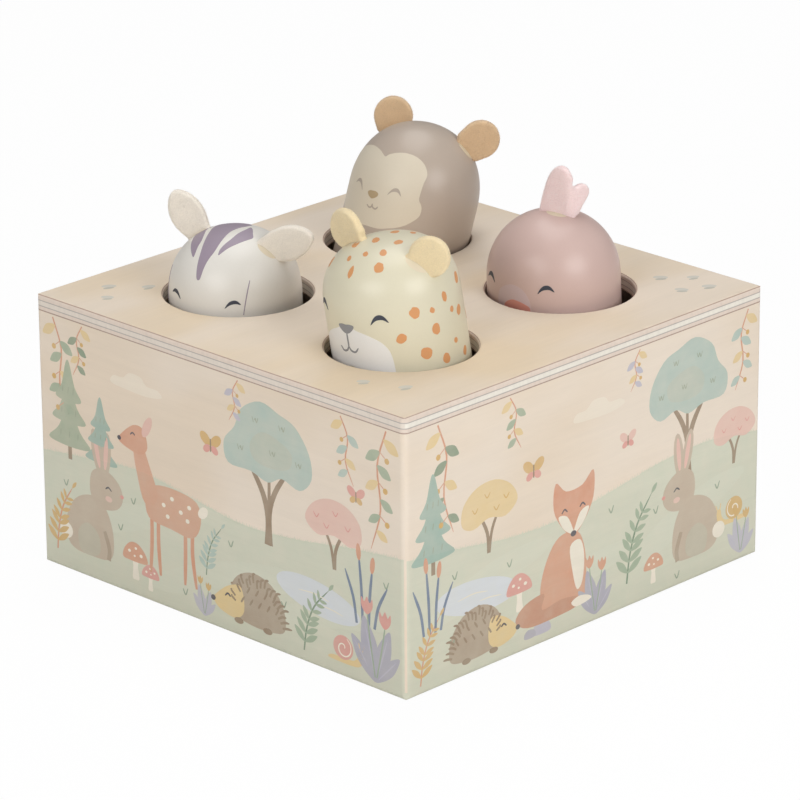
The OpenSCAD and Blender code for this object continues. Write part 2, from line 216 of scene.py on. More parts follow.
class ToySettings(bpy.types.PropertyGroup):
    """All settings of the toy"""

    wood: bpy.props.PointerProperty(type=ToyWood)
    paint: bpy.props.PointerProperty(type=ToyPaint)
    felt: bpy.props.PointerProperty(type=ToyFelt)
    springs: bpy.props.PointerProperty(type=ToySprings)


def settings():
    """The toy's settings in the open scene."""
    return bpy.context.scene.popup_toy


# ---------------------------------------------------------------- nodes


class Value:
    """A number in a node tree that Python arithmetic can be written with."""

    def __init__(self, nodes, socket):
        self.nodes, self.socket = nodes, socket

    def math(self, operation, *terms):
        made = self.nodes.node("ShaderNodeMath", {"operation": operation}, dict(enumerate(terms)))
        return Value(self.nodes, made.outputs[0])

    def __add__(self, other):
        return self.math("ADD", self, other)

    def __sub__(self, other):
        return self.math("SUBTRACT", self, other)

    def __rsub__(self, other):
        return self.math("SUBTRACT", other, self)

    def __mul__(self, other):
        return self.math("MULTIPLY", self, other)

    def __truediv__(self, other):
        return self.math("DIVIDE", self, other)

    __radd__ = __add__
    __rmul__ = __mul__

    def size(self):
        return self.math("ABSOLUTE", self)

    def swing(self, amount):
        """A number between 0 and 1 as one round 0, times an amount."""
        return (self - 0.5) * amount

    def between(self, low, high):
        """0 below low, 1 above high, and smooth between them."""
        made = self.nodes.node(
            "ShaderNodeMapRange",
            {"interpolation_type": "SMOOTHSTEP"},
            {"Value": self, "From Min": low, "From Max": high},
        )
        return Value(self.nodes, made.outputs[0])


class Nodes:
    """Adds nodes to a tree."""

    def __init__(self, tree):
        self.tree = tree

    def put(self, socket, value):
        if isinstance(value, Value):
            value = value.socket
        if isinstance(value, bpy.types.NodeSocket):
            self.tree.links.new(value, socket)
        else:
            socket.default_value = value

    def node(self, kind, facts=None, values=None):
        """Adds a node, sets its settings, and then fills its sockets, by name or number."""
        made = self.tree.nodes.new(kind)
        for name, value in (facts or {}).items():
            if name == "stops":
                self.stops(made.color_ramp, value)
            else:
                setattr(made, name, value)
        for name, value in (values or {}).items():
            self.put(made.inputs[name], value)
        return made

    def stops(self, ramp, stops):
        ends = (ramp.elements[0], ramp.elements[-1])
        for element, (place, tone) in zip(ends, (stops[0], stops[-1])):
            element.position = place
            element.color = (*tone, 1)
        for place, tone in stops[1:-1]:
            ramp.elements.new(place).color = (*tone, 1)


class Finish(Nodes):
    """A material with one Principled shader."""

    def __init__(self, name, base, **constants):
        self.material = bpy.data.materials.new(name)
        self.material.use_nodes = True
        super().__init__(self.material.node_tree)
        self.tree.nodes.clear()
        self.shader = self.node("ShaderNodeBsdfPrincipled")
        output = self.node("ShaderNodeOutputMaterial")
        self.tree.links.new(self.shader.outputs[0], output.inputs[0])
        self.set("Base Color", (*base, 1))
        for name, value in constants.items():
            self.set(name.replace("_", " ").title().replace("Ior", "IOR"), value)
        self.material.diffuse_color = (*base, 1)

    def set(self, name, value):
        self.put(self.shader.inputs[name], value)

    def place(self):
        """Object coordinates as a vector and as three numbers in metres."""
        vector = self.node("ShaderNodeTexCoord").outputs["Object"]
        split = self.node("ShaderNodeSeparateXYZ", None, {0: vector})
        return vector, [Value(self, out) for out in split.outputs]

    def vector(self, x, y, z):
        return self.node("ShaderNodeCombineXYZ", None, {0: x, 1: y, 2: z}).outputs[0]

    def noise(self, vector, scale=1.0, detail=2.0, roughness=0.5, distortion=0.0):
        made = self.node(
            "ShaderNodeTexNoise",
            None,
            {"Vector": vector, "Scale": scale, "Detail": detail, "Roughness": roughness,
             "Distortion": distortion},
        )
        return Value(self, made.outputs[0])

    def mix(self, factor, a, b):
        a, b = ((*c, 1) if isinstance(c, tuple) else c for c in (a, b))
        return self.node("ShaderNodeMix", {"data_type": "RGBA"}, {0: factor, 6: a, 7: b}).outputs[2]

    def shade(self, tone, factor):
        """The colour times a number."""
        made = self.node("ShaderNodeVectorMath", {"operation": "SCALE"}, {0: tone, "Scale": factor})
        return made.outputs[0]

    def bump(self, height, distance):
        made = self.node("ShaderNodeBump", None, {"Height": height, "Distance": distance})
        self.set("Normal", made.outputs[0])

    def attribute(self, name, output):
        return self.node("ShaderNodeAttribute", {"attribute_name": name}).outputs[output]

    def ramp(self, factor, stops):
        return self.node("ShaderNodeValToRGB", {"stops": stops}, {0: factor}).outputs[0]


def times(tone, factor):
    """A colour darker or lighter by a factor."""
    return tuple(factor * c for c in tone)


# ---------------------------------------------------------------- finishes


def grain(f, along):
    """Patches, tint and fine fibres of a board whose grain runs along the axis 0, 1 or 2."""
    _, xyz = f.place()
    a = xyz[along]
    b, c = (xyz[k] for k in range(3) if k != along)
    wide = f.noise(f.vector(a * 9, b * 55, c * 55), 1, 3, 0.55, 0.3)
    patch = f.noise(f.vector(a * 14 + 7, b * 26, c * 26), 1, 2, 0.5)
    streak = f.noise(f.vector(a * 30, b * 520, c * 520), 1, 4, 0.6)
    fibre = f.noise(f.vector(a * 160, b * 3200, c * 3200), 1, 2, 0.5)
    tint = 1 + wide.swing(0.09) + streak.swing(0.075) + fibre.swing(0.05)
    return patch.between(0.38, 0.64), tint, streak * 0.6 + fibre * 0.4


def ground_cover(f, quarter, edge):
    """How far the printed ground covers a wall: 1 below its upper edge, on the outer face only."""
    _, (x, y, z) = f.place()
    along, out = ((x, 0 - y), (y, x), (0 - x, y), (0 - y, 0 - x))[quarter]
    reach = HALF * MM
    places = np.linspace(0, 1, EDGE_STOPS)
    heights = np.interp(places * 2 * HALF - HALF, [p.x for p in edge], [p.y for p in edge])
    stops = [(float(t), (float(h) / EDGE_TOP,) * 3) for t, h in zip(places, heights)]
    level = f.ramp((along + reach) / (2 * reach), stops)
    ragged = f.noise(f.vector(along * 1400, z * 300, 0.0), 1, 2, 0.6)
    line = Value(f, level) * (EDGE_TOP * MM) - z + ragged.swing(RAGGED * MM)
    low = (ARRIS * MM - z).between(0.0, 0.0006)
    face = (out + low * 0.003).between(*(reach - depth * MM for depth in FACE_FADE))
    return line.between(-0.0001, 0.0001) * face


def wood_finish(name, along, pale, warm, inked=False, rough=0.52, ground=None):
    """Bare or printed wood. The print's ground is painted by place and its motifs by attribute."""
    f = Finish(name, pale, specular_ior_level=0.35)
    patch, tint, fine = grain(f, along)
    tone = f.mix(patch, pale, warm)
    if inked or ground:
        vector, _ = f.place()
        dense = 0.94 - f.noise(vector, 160, 5, 0.6).swing(0.5)
    if ground:
        tone = f.mix(ground_cover(f, *ground) * dense * 0.92, tone, INKS["meadow"])
    if inked:
        cover = Value(f, f.attribute("ink", "Alpha")) * dense
        tone = f.mix(cover, tone, f.attribute("ink", "Color"))
    f.set("Base Color", f.shade(tone, tint))
    f.set("Roughness", rough + fine.swing(0.16))
    f.bump(fine, WOOD_RELIEF)
    return f.material


def ply_finish(name, along):
    """Plywood of the top panel: its face veneer above, and its plies one under another."""
    wood = settings().wood
    pale, warm, core, cross, glue = (
        tuple(t) for t in (wood.veneer, wood.honey, wood.core, wood.cross, wood.glue)
    )
    f = Finish(name, pale, specular_ior_level=0.35)
    patch, tint, fine = grain(f, along)
    _, (x, y, z) = f.place()
    wobble = f.noise(f.vector(x * 45, y * 45, z * 20), 1, 2)
    depth = (BOX_H * MM - z) / ((BOX_H - SIDE_H) * MM) + wobble.swing(0.03)
    dark, grey = times(glue, 0.97), rgb(182, 171, 163)
    plies = [
        (0.0, pale), (0.018, pale), (0.028, glue), (0.055, glue), (0.07, cross), (0.31, cross),
        (0.325, grey), (0.37, grey), (0.385, core), (0.65, core), (0.665, grey), (0.71, grey),
        (0.725, cross), (0.92, cross), (0.94, dark), (1.0, dark),
    ]
    layer = f.ramp(depth, plies)
    end = f.noise(f.vector(x * 900, y * 900, z * 300), 1, 3, 0.6)
    cut = 1 - x.size().between((HALF - 0.6) * MM, (HALF - 0.3) * MM)
    middle = depth.between(0.37, 0.39) * (1 - depth.between(0.64, 0.66))
    layer = f.mix(cut * middle * 0.5, layer, cross)
    layer = f.shade(layer, 1 + end.swing(0.2) - cut * middle * 0.04)
    # Painted shade and light: the top's veneer turns darker and warmer toward the near corner and
    # lighter toward the back, standing in for how the lamps fell across it
    near = (x - y) / (4 * HALF * MM)
    face = f.shade(f.mix(patch * 0.75 + near * 0.5 + 0.1, pale, warm), tint - near * 0.12)
    inside = depth.between(0.012, 0.024)
    f.set("Base Color", f.mix(inside, face, layer))
    f.set("Roughness", 0.5 + fine.swing(0.16) + inside * 0.14)
    f.bump(fine * (1 - inside) + end * inside, WOOD_RELIEF)
    return f.material


def paint_finish(name, tone, attribute=False, rough=0.33):
    """Satin paint on turned wood, a little uneven."""
    f = Finish(name, tone, specular_ior_level=0.42, coat_roughness=0.42)
    vector, _ = f.place()
    cloud = f.noise(vector, 90, 3, 0.5)
    speck = f.noise(vector, 1500, 2, 0.5)
    if attribute:
        tone = f.attribute("ink", "Color")
    f.set("Base Color", f.shade(tone, 1 + cloud.swing(0.05) + speck.swing(0.03)))
    f.set("Roughness", rough + cloud.swing(0.06) + speck.swing(0.05))
    f.bump(cloud * 0.7 + speck * 0.3, PAINT_RELIEF)
    return f.material


def felt_finish(name, tone):
    """Pressed wool: matted fibres, a little paler at the cut edge."""
    f = Finish(name, tone, roughness=1.0, specular_ior_level=0.1, sheen_weight=0.35,
               sheen_roughness=0.6)
    vector, (x, y, z) = f.place()
    mat_a = f.noise(f.vector(x * 1800 + y * 700, y * 900, z * 5200), 1, 3, 0.6, 1.2)
    mat_b = f.noise(f.vector(x * 5200, y * 1100, z * 1700 - x * 600), 1, 3, 0.6, 1.2)
    cloud = f.noise(vector, 330, 4, 0.6)
    edge = Value(f, f.attribute("edge", "Fac"))
    tint = 1 + mat_a.swing(0.26) + mat_b.swing(0.26) + cloud.swing(0.16) + edge * 0.05
    f.set("Base Color", f.shade(tone, tint))
    f.bump(mat_a * 0.4 + mat_b * 0.4 + cloud * 0.2, FELT_RELIEF)
    return f.material


def steel_finish(name, tone, rough):
    """Bright steel with faint marks."""
    f = Finish(name, tone, metallic=1.0)
    vector, _ = f.place()
    mark = f.noise(vector, 700, 4, 0.6)
    f.set("Roughness", rough + mark.swing(0.2))
    f.set("Base Color", f.shade(tone, 0.94 + mark * 0.12))
    f.bump(mark, STEEL_RELIEF)
    return f.material


def dress(node, material):
    """Gives a CAD node its material."""
    shown = bpy.data.objects[node]
    if shown.material_slots:
        for held in shown.material_slots:
            held.material = material
    else:
        shown.data.materials.append(material)


# ---------------------------------------------------------------- shapes


def show(name, data):
    """A new object with its mesh, light or camera, in the scene."""
    made = bpy.data.objects.new(name, data)
    bpy.context.scene.collection.objects.link(made)
    return made


def line_mesh(name, points):
    """A mesh of edges alone along a row of points in millimetres."""
    mesh = bpy.data.meshes.new(name)
    edges = [(k, k + 1) for k in range(len(points) - 1)]
    mesh.from_pydata([(p[0] * MM, p[1] * MM, p[2] * MM) for p in points], edges, [])
    return mesh


class Shape:
    """Closed solids in millimetres, with an ink for each point, that become one mesh."""

    def __init__(self):
        self.points, self.faces, self.ink, self.edge = [], [], [], []

    def add(self, points, faces, ink=(1, 1, 1, 1), edge=None):
        start = len(self.points)
        self.points += [tuple(p) for p in points]
        self.faces += [tuple(start + k for k in face) for face in faces]
        self.ink += [ink] * len(points)
        self.edge += edge if edge else [0.0] * len(points)

    def object(self, name, material, smooth=None):
        co = np.array(self.points, float)
        volume = 0.0
        for face in self.faces:
            for k in range(1, len(face) - 1):
                a, b, c = co[face[0]], co[face[k]], co[face[k + 1]]
                volume += float(np.dot(a, np.cross(b, c)))
        faces = [tuple(reversed(face)) for face in self.faces] if volume < 0 else self.faces
        mesh = bpy.data.meshes.new(name)
        mesh.from_pydata((co * MM).tolist(), [], faces)
        ink = mesh.attributes.new("ink", "FLOAT_COLOR", "POINT")
        ink.data.foreach_set("color", np.array(self.ink, np.float32).ravel())
        edge = mesh.attributes.new("edge", "FLOAT", "POINT")
        edge.data.foreach_set("value", np.array(self.edge, np.float32))
        mesh.materials.append(material)
        if smooth is not None:
            mesh.shade_smooth()
            mesh.set_sharp_from_angle(angle=math.radians(smooth))
        return show(name, mesh)


def own(made, body, slot, *nodes):
    """A finished piece rides on its body and stands for its CAD nodes, which are hidden; slot is
    not used.
    """
    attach(made, body)
    if nodes:
        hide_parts(*nodes)


def span(p0, p1, p2, p3, steps):
    """Smooth line from the second of four points until just before the third."""
    return [
        0.5 * (2 * p1 + (p2 - p0) * t + (2 * p0 - 5 * p1 + 4 * p2 - p3) * t**2
               + (3 * p1 - p0 - 3 * p2 + p3) * t**3)
        for t in (s / steps for s in range(steps))
    ]


def closed_curve(points, steps=6):
    """Smooth closed outline through the points."""
    pts = [Vector(p) for p in points]
    out = []
    for k in range(len(pts)):
        out += span(*(pts[(k + j) % len(pts)] for j in (-1, 0, 1, 2)), steps)
    return out


def open_curve(points, steps=6):
    """Smooth line through the points, from the first to the last."""
    pts = [Vector(p) for p in points]
    pts = [2 * pts[0] - pts[1]] + pts + [2 * pts[-1] - pts[-2]]
    out = []
    for k in range(1, len(pts) - 2):
        out += span(*pts[k - 1 : k + 3], steps)
    return out + [pts[-2]]


def stroke(points, width, start=0.15, end=0.15, steps=5):
    """Outline of a brush stroke along the points, its ends thinner by the shares start and end."""
    line = open_curve(points, steps)
    n = len(line) - 1
    left, right = [], []
    for k, p in enumerate(line):
        d = (line[min(k + 1, n)] - line[max(k - 1, 0)]).normalized()
        t = k / n
        body = math.sin(math.pi * t) ** 0.5
        taper = (start * (1 - t) + end * t) * (1 - body) + body
        side = Vector((-d.y, d.x)) * (0.5 * width * max(taper, 0.06))
        left.append(p + side)
        right.append(p - side)
    return right + left[::-1]


def at_angle(r, a):
    """Point at a distance from the origin, in a direction in radians."""
    return Vector((r * math.cos(a), r * math.sin(a)))


def ellipse(x, y, a, b, tilt, n):
    """Outline of an ellipse with half axes a and b, tilted in degrees."""
    c, s = math.cos(math.radians(tilt)), math.sin(math.radians(tilt))
    out = []
    for k in range(n):
        t = 2 * math.pi * k / n
        u, v = a * math.cos(t), b * math.sin(t)
        out.append(Vector((x + u * c - v * s, y + u * s + v * c)))
    return out


def signed_area(outline):
    """Area of an outline, below 0 if it runs clockwise."""
    return 0.5 * sum(p.x * q.y - q.x * p.y for p, q in zip(outline, outline[1:] + outline[:1]))


def sides(rows, n):
    """Faces between rows of n points each, that lie one over another round a solid."""
    return [
        (a + k, a + (k + 1) % n, a + n + (k + 1) % n, a + n + k)
        for a in range(0, (rows - 1) * n, n) for k in range(n)
    ]


def inset(outline, distance):
    """The outline moved inward; it runs counterclockwise."""
    if not distance:
        return list(outline)
    out = []
    n = len(outline)
    for k in range(n):
        d = (outline[(k + 1) % n] - outline[k - 1]).normalized()
        out.append(outline[k] + Vector((-d.y, d.x)) * distance)
    return out


def inside(outline, x, y):
    """Whether a point lies within an outline."""
    found = False
    for p, q in zip(outline, outline[1:] + outline[:1]):
        if (p.y > y) != (q.y > y) and x < (q.x - p.x) * (y - p.y) / (q.y - p.y) + p.x:
            found = not found
    return found


def cap(outline, spacing):
    """Triangles of an outline with points of their own inside it, by number."""
    n = len(outline)
    grid = []
    if spacing:
        xs, ys = [p.x for p in outline], [p.y for p in outline]
        rows = int((max(ys) - min(ys)) / spacing) + 2
        columns = int((max(xs) - min(xs)) / spacing) + 2
        for j in range(rows):
            for i in range(columns):
                x = min(xs) + (i + 0.5 * (j % 2)) * spacing
                y = min(ys) + j * spacing
                if inside(outline, x, y):
                    near = min((p.x - x) ** 2 + (p.y - y) ** 2 for p in outline)
                    if near > (0.55 * spacing) ** 2:
                        grid.append(Vector((x, y)))
    if not grid:
        return [], [tuple(t) for t in tessellate_polygon([[(p.x, p.y, 0) for p in outline]])]
    made = delaunay_2d_cdt(
        list(outline) + grid, [(k, (k + 1) % n) for k in range(n)], [], 1, 1e-9
    )
    first = {k: names[0] for k, names in enumerate(made[3]) if names}
    faces = []
    for face in made[2]:
        if any(k not in first for k in face):
            raise RuntimeError("an outline crosses itself")
        faces.append(tuple(first[k] for k in face))
    return grid, faces


def slab(shape, outline, layers, place, ink=(1, 1, 1, 1), spacing=None):
    """Adds a closed plate to a shape. Layers are (inset, depth) from its back to its front."""
    if signed_area(outline) < 0:
        outline = outline[::-1]
    n = len(outline)
    rings = [inset(outline, d) for d, _ in layers]
    points, edge = [], []
    for ring, (d, w) in zip(rings, layers):
        points += [place(p.x, p.y, w) for p in ring]
        edge += [1.0 if d < 0.5 else 0.0] * n
    faces = sides(len(layers), n)
    for ring, start, depth, front in (
        (rings[0], 0, layers[0][1], False),
        (rings[-1], (len(layers) - 1) * n, layers[-1][1], True),
    ):
        grid, found = cap(ring, spacing)
        base = len(points)
        points += [place(p.x, p.y, depth) for p in grid]
        edge += [0.0] * len(grid)
        for face in found:
            pts = [(ring + grid)[k] for k in face]
            face = tuple(start + k if k < n else base + k - n for k in face)
            if (signed_area(pts) > 0) != front:
                face = face[::-1]
            faces.append(face)
    shape.add(points, faces, ink, edge)


def star_outline(polygons, centre, n=96):
    """Outer edge of overlapping polygons, as seen from a point inside them all."""
    out = []
    for k in range(n):
        d = at_angle(1, 2 * math.pi * k / n)
        far = 0.0
        for polygon in polygons:
            for p, q in zip(polygon, polygon[1:] + polygon[:1]):
                e = q - p
                cross = d.x * e.y - d.y * e.x
                if abs(cross) < 1e-12:
                    continue
                w = p - centre
                t = (w.x * e.y - w.y * e.x) / cross
                s = (w.x * d.y - w.y * d.x) / cross
                if 0 <= s <= 1:
                    far = max(far, t)
        out.append(centre + d * far)
    for _ in range(2):
        out = [0.25 * out[k - 1] + 0.5 * out[k] + 0.25 * out[(k + 1) % n] for k in range(n)]
    return out


def hull(points):
    """Convex outline round the points."""
    pts = sorted({(round(p.x, 6), round(p.y, 6)) for p in points})

    def half(row):
        out = []
        for p in row:
            while len(out) > 1 and (out[-1][0] - out[-2][0]) * (p[1] - out[-2][1]) <= (
                out[-1][1] - out[-2][1]
            ) * (p[0] - out[-2][0]):
                out.pop()
            out.append(p)
        return out[:-1]

    return [Vector(p) for p in half(pts) + half(pts[::-1])]


# ---------------------------------------------------------------- heads


def peg_frame(name):
    """Frame of a peg in millimetres: origin on the box's top face, +Z along the peg."""
    peg = PEGS[name]
    turn = math.radians(LEAN_DIR)
    x = peg["hole"][0] + peg["shift"] * math.cos(turn)
    y = peg["hole"][1] + peg["shift"] * math.sin(turn)
    return (
        Matrix.Translation((x, y, BOX_H))
        @ Matrix.Rotation(turn, 4, "Z")
        @ Matrix.Rotation(math.radians(peg["lean"]), 4, "Y")
        @ Matrix.Rotation(-turn, 4, "Z")
    )


def dome_height(peg, r):
    """Height of a head over the top face at a distance from its axis."""
    return peg["rise"] - peg["dome"] + peg["dome"] * (
        max(1 - (r / PEG_R) ** peg["full"], 0)
    ) ** (1 / peg["full"])


def dome_line(name, steps=60):
    """Radius and height of the peg's outline from its crown down to its lower end."""
    peg = PEGS[name]
    power = 2 / peg["full"]
    line = []
    for k in range(steps + 1):
        t = math.pi / 2 * (1 - k / steps)
        line.append(
            (
                PEG_R * max(math.cos(t), 0.0) ** power if k else 0.0,
                peg["rise"] - peg["dome"] + peg["dome"] * math.sin(t) ** power,
            )
        )
    line.append((PEG_R, -PEG_HANG + 1.5))
    return line


class Head:
    """A peg's surface, reached by its angle and its distance from the crown along the surface."""

    # distance over which the slope is taken, and how near the crown angles are no use
    STEP = 0.2
    CROWN = 8

    def __init__(self, name):
        self.name = name
        self.frame = peg_frame(name)
        self.face = Shape()
        line = np.array(dome_line(name, 160))
        self.r, self.z = line[:, 0], line[:, 1]
        self.arc = np.concatenate([[0], np.cumsum(np.hypot(*np.diff(line, axis=0).T))])

    def outline(self, arc):
        """Radius and height at a distance from the crown."""
        return (float(np.interp(arc, self.arc, row)) for row in (self.r, self.z))

    def at(self, u, v, lift):
        """Point over the unrolled plane's point (u, v), whose origin is the crown."""
        arc = math.hypot(u, v)
        r, z = self.outline(arc)
        r1, z1 = self.outline(max(arc - self.STEP, 0))
        r2, z2 = self.outline(arc + self.STEP)
        if arc < self.STEP:
            r1 = -r2
        n = Vector((z1 - z2, r2 - r1)).normalized()
        a = math.atan2(v, u)
        rr = r + n.x * lift
        return self.frame @ Vector((rr * math.cos(a), rr * math.sin(a), z + n.y * lift))

    def spot(self, angle, arc, outline):
        """Outline in millimetres round a point, x round the peg and y away from the crown."""
        a0 = math.radians(angle)
        r = max(float(np.interp(arc, self.arc, self.r)), 0.5)
        spread = arc / r
        if arc > self.CROWN:
            return [at_angle(arc + y, a0 + x / r) for x, y in outline]
        return [at_angle(arc + y, a0) + at_angle(x * spread, a0 + math.pi / 2) for x, y in outline]

    def paint(self, outline, tone, lift=COAT, spacing=1.2):
        """Adds a thin coat of another colour inside an outline of the unrolled plane."""
        slab(self.face, outline, [(0, SINK), (0, lift)], self.at, (*tone, 1), spacing)

    def eyes(self, tone, size, *places):
        """Closed eyes of one size, each with its angle, distance from the crown and tilt."""
        for angle, arc, tilt in places:
            self.paint(self.spot(angle, arc, closed_eye(*size, tilt)), tone, LINE, 0.5)


def polar(rows):
    """Points of the unrolled plane from (angle, distance from the crown)."""
    return [at_angle(s, math.radians(a)) for a, s in rows]


def turned_head(name):
    """The peg as one closed turned solid, with the spring's bore in its lower end."""
    line = dome_line(name)
    top = PEG_HANG - BORE_DEPTH
    # the foot's rounded edge, and the bore
    line += [
        (PEG_R - 0.2, -PEG_HANG + 0.45), (PEG_R - 0.75, -PEG_HANG + 0.1), (PEG_R - 1.5, -PEG_HANG),
        (BORE_R, -PEG_HANG), (BORE_R, -top), (0.0, -top),
    ]
    frame_mm = peg_frame(name)
    n = 144
    points, faces = [frame_mm @ Vector((0, 0, line[0][1]))], []
    for r, z in line[1:-1]:
        for k in range(n):
            a = 2 * math.pi * k / n
            points.append(frame_mm @ Vector((r * math.cos(a), r * math.sin(a), z)))
    last = len(points)
    points.append(frame_mm @ Vector((0, 0, line[-1][1])))
    rows = len(line) - 2
    for k in range(n):
        j = (k + 1) % n
        faces.append((0, 1 + k, 1 + j))
        for row in range(rows - 1):
            a, b = 1 + row * n, 1 + (row + 1) * n
            faces.append((a + k, b + k, b + j, a + j))
        a = 1 + (rows - 1) * n
        faces.append((last, a + j, a + k))
    shape = Shape()
    shape.add(points, faces)
    return shape


def closed_eye(width, rise, thick, tilt):
    """A closed eye: an arched crescent, x round the peg and y away from the crown."""
    over, under = [], []
    for k in range(13):
        t = k / 6 - 1
        y = rise * (abs(t) ** 2.3 - 0.5) + tilt * t
        over.append(Vector((t * width / 2, y)))
        if abs(t) < 0.99:
            under.append(Vector((t * width / 2, y + thick * (1 - t * t) ** 0.6)))
    return over + under[::-1]


def bent(points, thick, ends=0.35):
    """A stroke whose two ends are alike."""
    return stroke(points, thick, ends, ends)


def monkey_face(head, paint):
    mask = [(-91, 19.9), (-88, 18.7), (-80, 17.2), (-70, 16.3), (-58, 16.4), (-48, 17.7),
            (-43, 19.5), (-41, 21.6), (-43, 24.2), (-44, 27.1), (-44, 29.3), (-41, 31), (-40, 32.5),
            (-41, 34.6), (-46, 36.7), (-53, 38.7), (-63, 40.4), (-77, 42), (-97, 43), (-115, 43),
            (-129, 42), (-138, 39.5), (-143, 36), (-142, 32), (-140, 29), (-142, 26), (-141, 23.4),
            (-134, 21.5), (-124, 19.8), (-112, 19), (-102, 19.1), (-95, 19.7)]
    head.paint(closed_curve(polar(mask), 5), paint.mask, COAT, 1.3)
    head.eyes(paint.soft, (4.4, 2.5, 1.15), (-66.5, 28.9, -0.45), (-106.5, 31.0, 0.45))
    nose = [(-2, 0), (-1.5, -0.75), (-0.4, -1.1), (1, -1.3), (2, -0.8), (1.6, 0.3), (0.1, 1.3),
            (-1.2, 0.95)]
    head.paint(head.spot(-87, 32.2, closed_curve(nose, 4)), paint.nose, LINE)
    for mouth in ([(-2.1, 0.2), (-1.2, 0.75), (-0.3, 0.4), (-0.1, -0.7)],
                  [(-0.1, -0.7), (0.3, 0.3), (1.4, 0.45), (2.1, -0.5)]):
        head.paint(head.spot(-84.5, 35.7, bent(mouth, 0.5)), paint.soft, LINE, 0.5)


def apart(a, b):
    """Smaller angle between two directions, in degrees."""
    return abs((a - b + 180) % 360 - 180)


def leopard_face(head, paint):
    half = [(-80, 34.4), (-74, 35.2), (-65, 36.6), (-58, 38.2), (-53, 40.4), (-51, 42.5),
            (-50, 45.5), (-50.5, 50), (-58, 54)]
    outline = half + [(-180 - a, s) for a, s in half[::-1]]
    outline.append((-90, 33.2))
    head.paint(closed_curve(polar(outline), 5), paint.muzzle, COAT, 1.3)
    head.eyes(paint.dark, (5.6, 2.8, 1.5), (-57, 31.1, -0.2), (-121, 28.6, 0.2))
    nose = [(-2.9, -1.2), (-1.4, -1.55), (0, -1.45), (1.4, -1.55), (2.9, -1.2), (2.5, -0.1),
            (1.1, 1.05), (0, 1.3), (-1.1, 1.05), (-2.5, -0.1)]
    tip = (-89.5, 34.4)
    head.paint(head.spot(*tip, closed_curve(nose, 4)), paint.snout, LINE)
    stem = [(0, 1.1), (0, 3.4), (0, 5.4)]
    head.paint(head.spot(*tip, bent(stem, 0.6, 0.7)), paint.snout, LINE + 0.01, 0.5)
    for side in (-1, 1):
        curl = [(0, 5.2), (side * 0.8, 6.5), (side * 2.3, 6.8), (side * 3.5, 5.5)]
        head.paint(head.spot(*tip, bent(curl, 0.6)), paint.snout, LINE + 0.03, 0.5)
    # angle, distance from the crown, half length, half width, tilt
    spots = [
        (-86, 17.1, 1.95, 0.85, 88), (-101, 13, 1.15, 0.7, 52), (-78, 10.3, 1.1, 0.8, 60),
        (-53, 15.6, 1.8, 1.4, -85), (-47, 10, 1.45, 1.05, -87), (-132, 8.4, 2, 1.15, 23),
        (-98, 2.8, 2, 1.1, 42), (-5, 6.7, 1.5, 1.2, 0), (94, 5.2, 1.6, 1.2, 77),
        (67, 9.4, 1.3, 0.9, 33), (-27, 30.8, 1.75, 1.6, 76), (-11, 31.6, 0.95, 0.8, 63),
        (4, 29.2, 1.6, 1, 84), (11, 33.9, 1, 0.8, 88), (22, 35.6, 1.65, 1.3, -69),
        (30, 26.6, 1.8, 1.3, -55), (-10, 37.5, 1.75, 1.3, 90), (-41, 37.6, 1.6, 1.4, -17),
        (10, 43.5, 0.9, 0.8, 72), (-22, 43.7, 1.95, 1.75, 65), (-4, 47.2, 1.65, 1.3, 87),
        (22, 48.3, 1.5, 1.1, -68), (-137, 17.5, 1.8, 1, 60), (-150, 25, 1.7, 1.3, 80),
        (-142, 33, 1.6, 1.4, 30), (-158, 38, 1.8, 1.3, 95), (-165, 46, 1.7, 1.4, 60),
    ]
    # more spots on the back, each clear of the others
    degree, clear, tries = 0.31, 7.2, 900
    rng = random.Random(5)
    taken = [(a, s) for a, s, *_ in spots]
    for _ in range(tries):
        a, s = rng.uniform(34, 190), rng.uniform(12, 50)
        if all(math.hypot(apart(a, b) * degree, s - t) > clear for b, t in taken):
            taken.append((a, s))
            big = rng.uniform(1.1, 1.9)
            spots.append((a, s, big, big * rng.uniform(0.65, 0.95), rng.uniform(50, 120)))
    for angle, arc, a, b, tilt in spots:
        blob = ellipse(0, 0, a, b, tilt, 14)
        blob = [p * rng.uniform(0.9, 1.08) for p in blob]
        head.paint(head.spot(angle, arc, closed_curve(blob, 2)), paint.spot, COAT + 0.01, 1.0)


def zebra_face(head, paint):
    middle = [(-80, 22.8), (-82, 22), (-85, 18.7), (-89, 14.8), (-97, 11.3), (-120, 7.5),
              (-158, 6.5), (172, 7.6), (150, 9.4), (118, 9.5), (88, 8), (70, 5), (50, 2.6),
              (-50, 2.9), (-65, 7.1), (-68, 10.5), (-70, 13.3), (-74, 16.2), (-76, 18.9),
              (-77, 21.4), (-78, 22.6)]
    left = [(-97, 16.5), (-106, 15.3), (-120, 13.7), (-136, 12.5), (-154, 11.9), (178, 12.5),
            (164, 13.8), (156, 12.2), (172, 10), (-165, 8.7), (-145, 8.3), (-127, 8.7),
            (-109, 10.5), (-102, 13), (-97, 15.4)]
    right = [(-63, 14.3), (-63, 12.4), (-58, 10.1), (-47, 7.7), (-24, 4.9), (25, 4.3), (56, 5.6),
             (38, 6.2), (14, 7.3), (1, 8.8), (-12, 9), (-34, 9.9), (-50, 11.5), (-59, 13.4)]
    for outline in (middle, left, right):
        head.paint(closed_curve(polar(outline), 4), paint.stripe, COAT, 1.0)
    head.eyes(paint.dark, (5.0, 1.9, 1.15), (-45.8, 29.2, -0.5), (-105.1, 28.4, 0.5))
    for side in (-1, 1):
        line = polar([(-81 + side * 52, 22.6), (-81 + side * 48, 26.6), (-81 + side * 44, 32.8)])
        head.paint(stroke(line, 0.42, 0.5, 0.9), paint.stripe, LINE, 0.8)


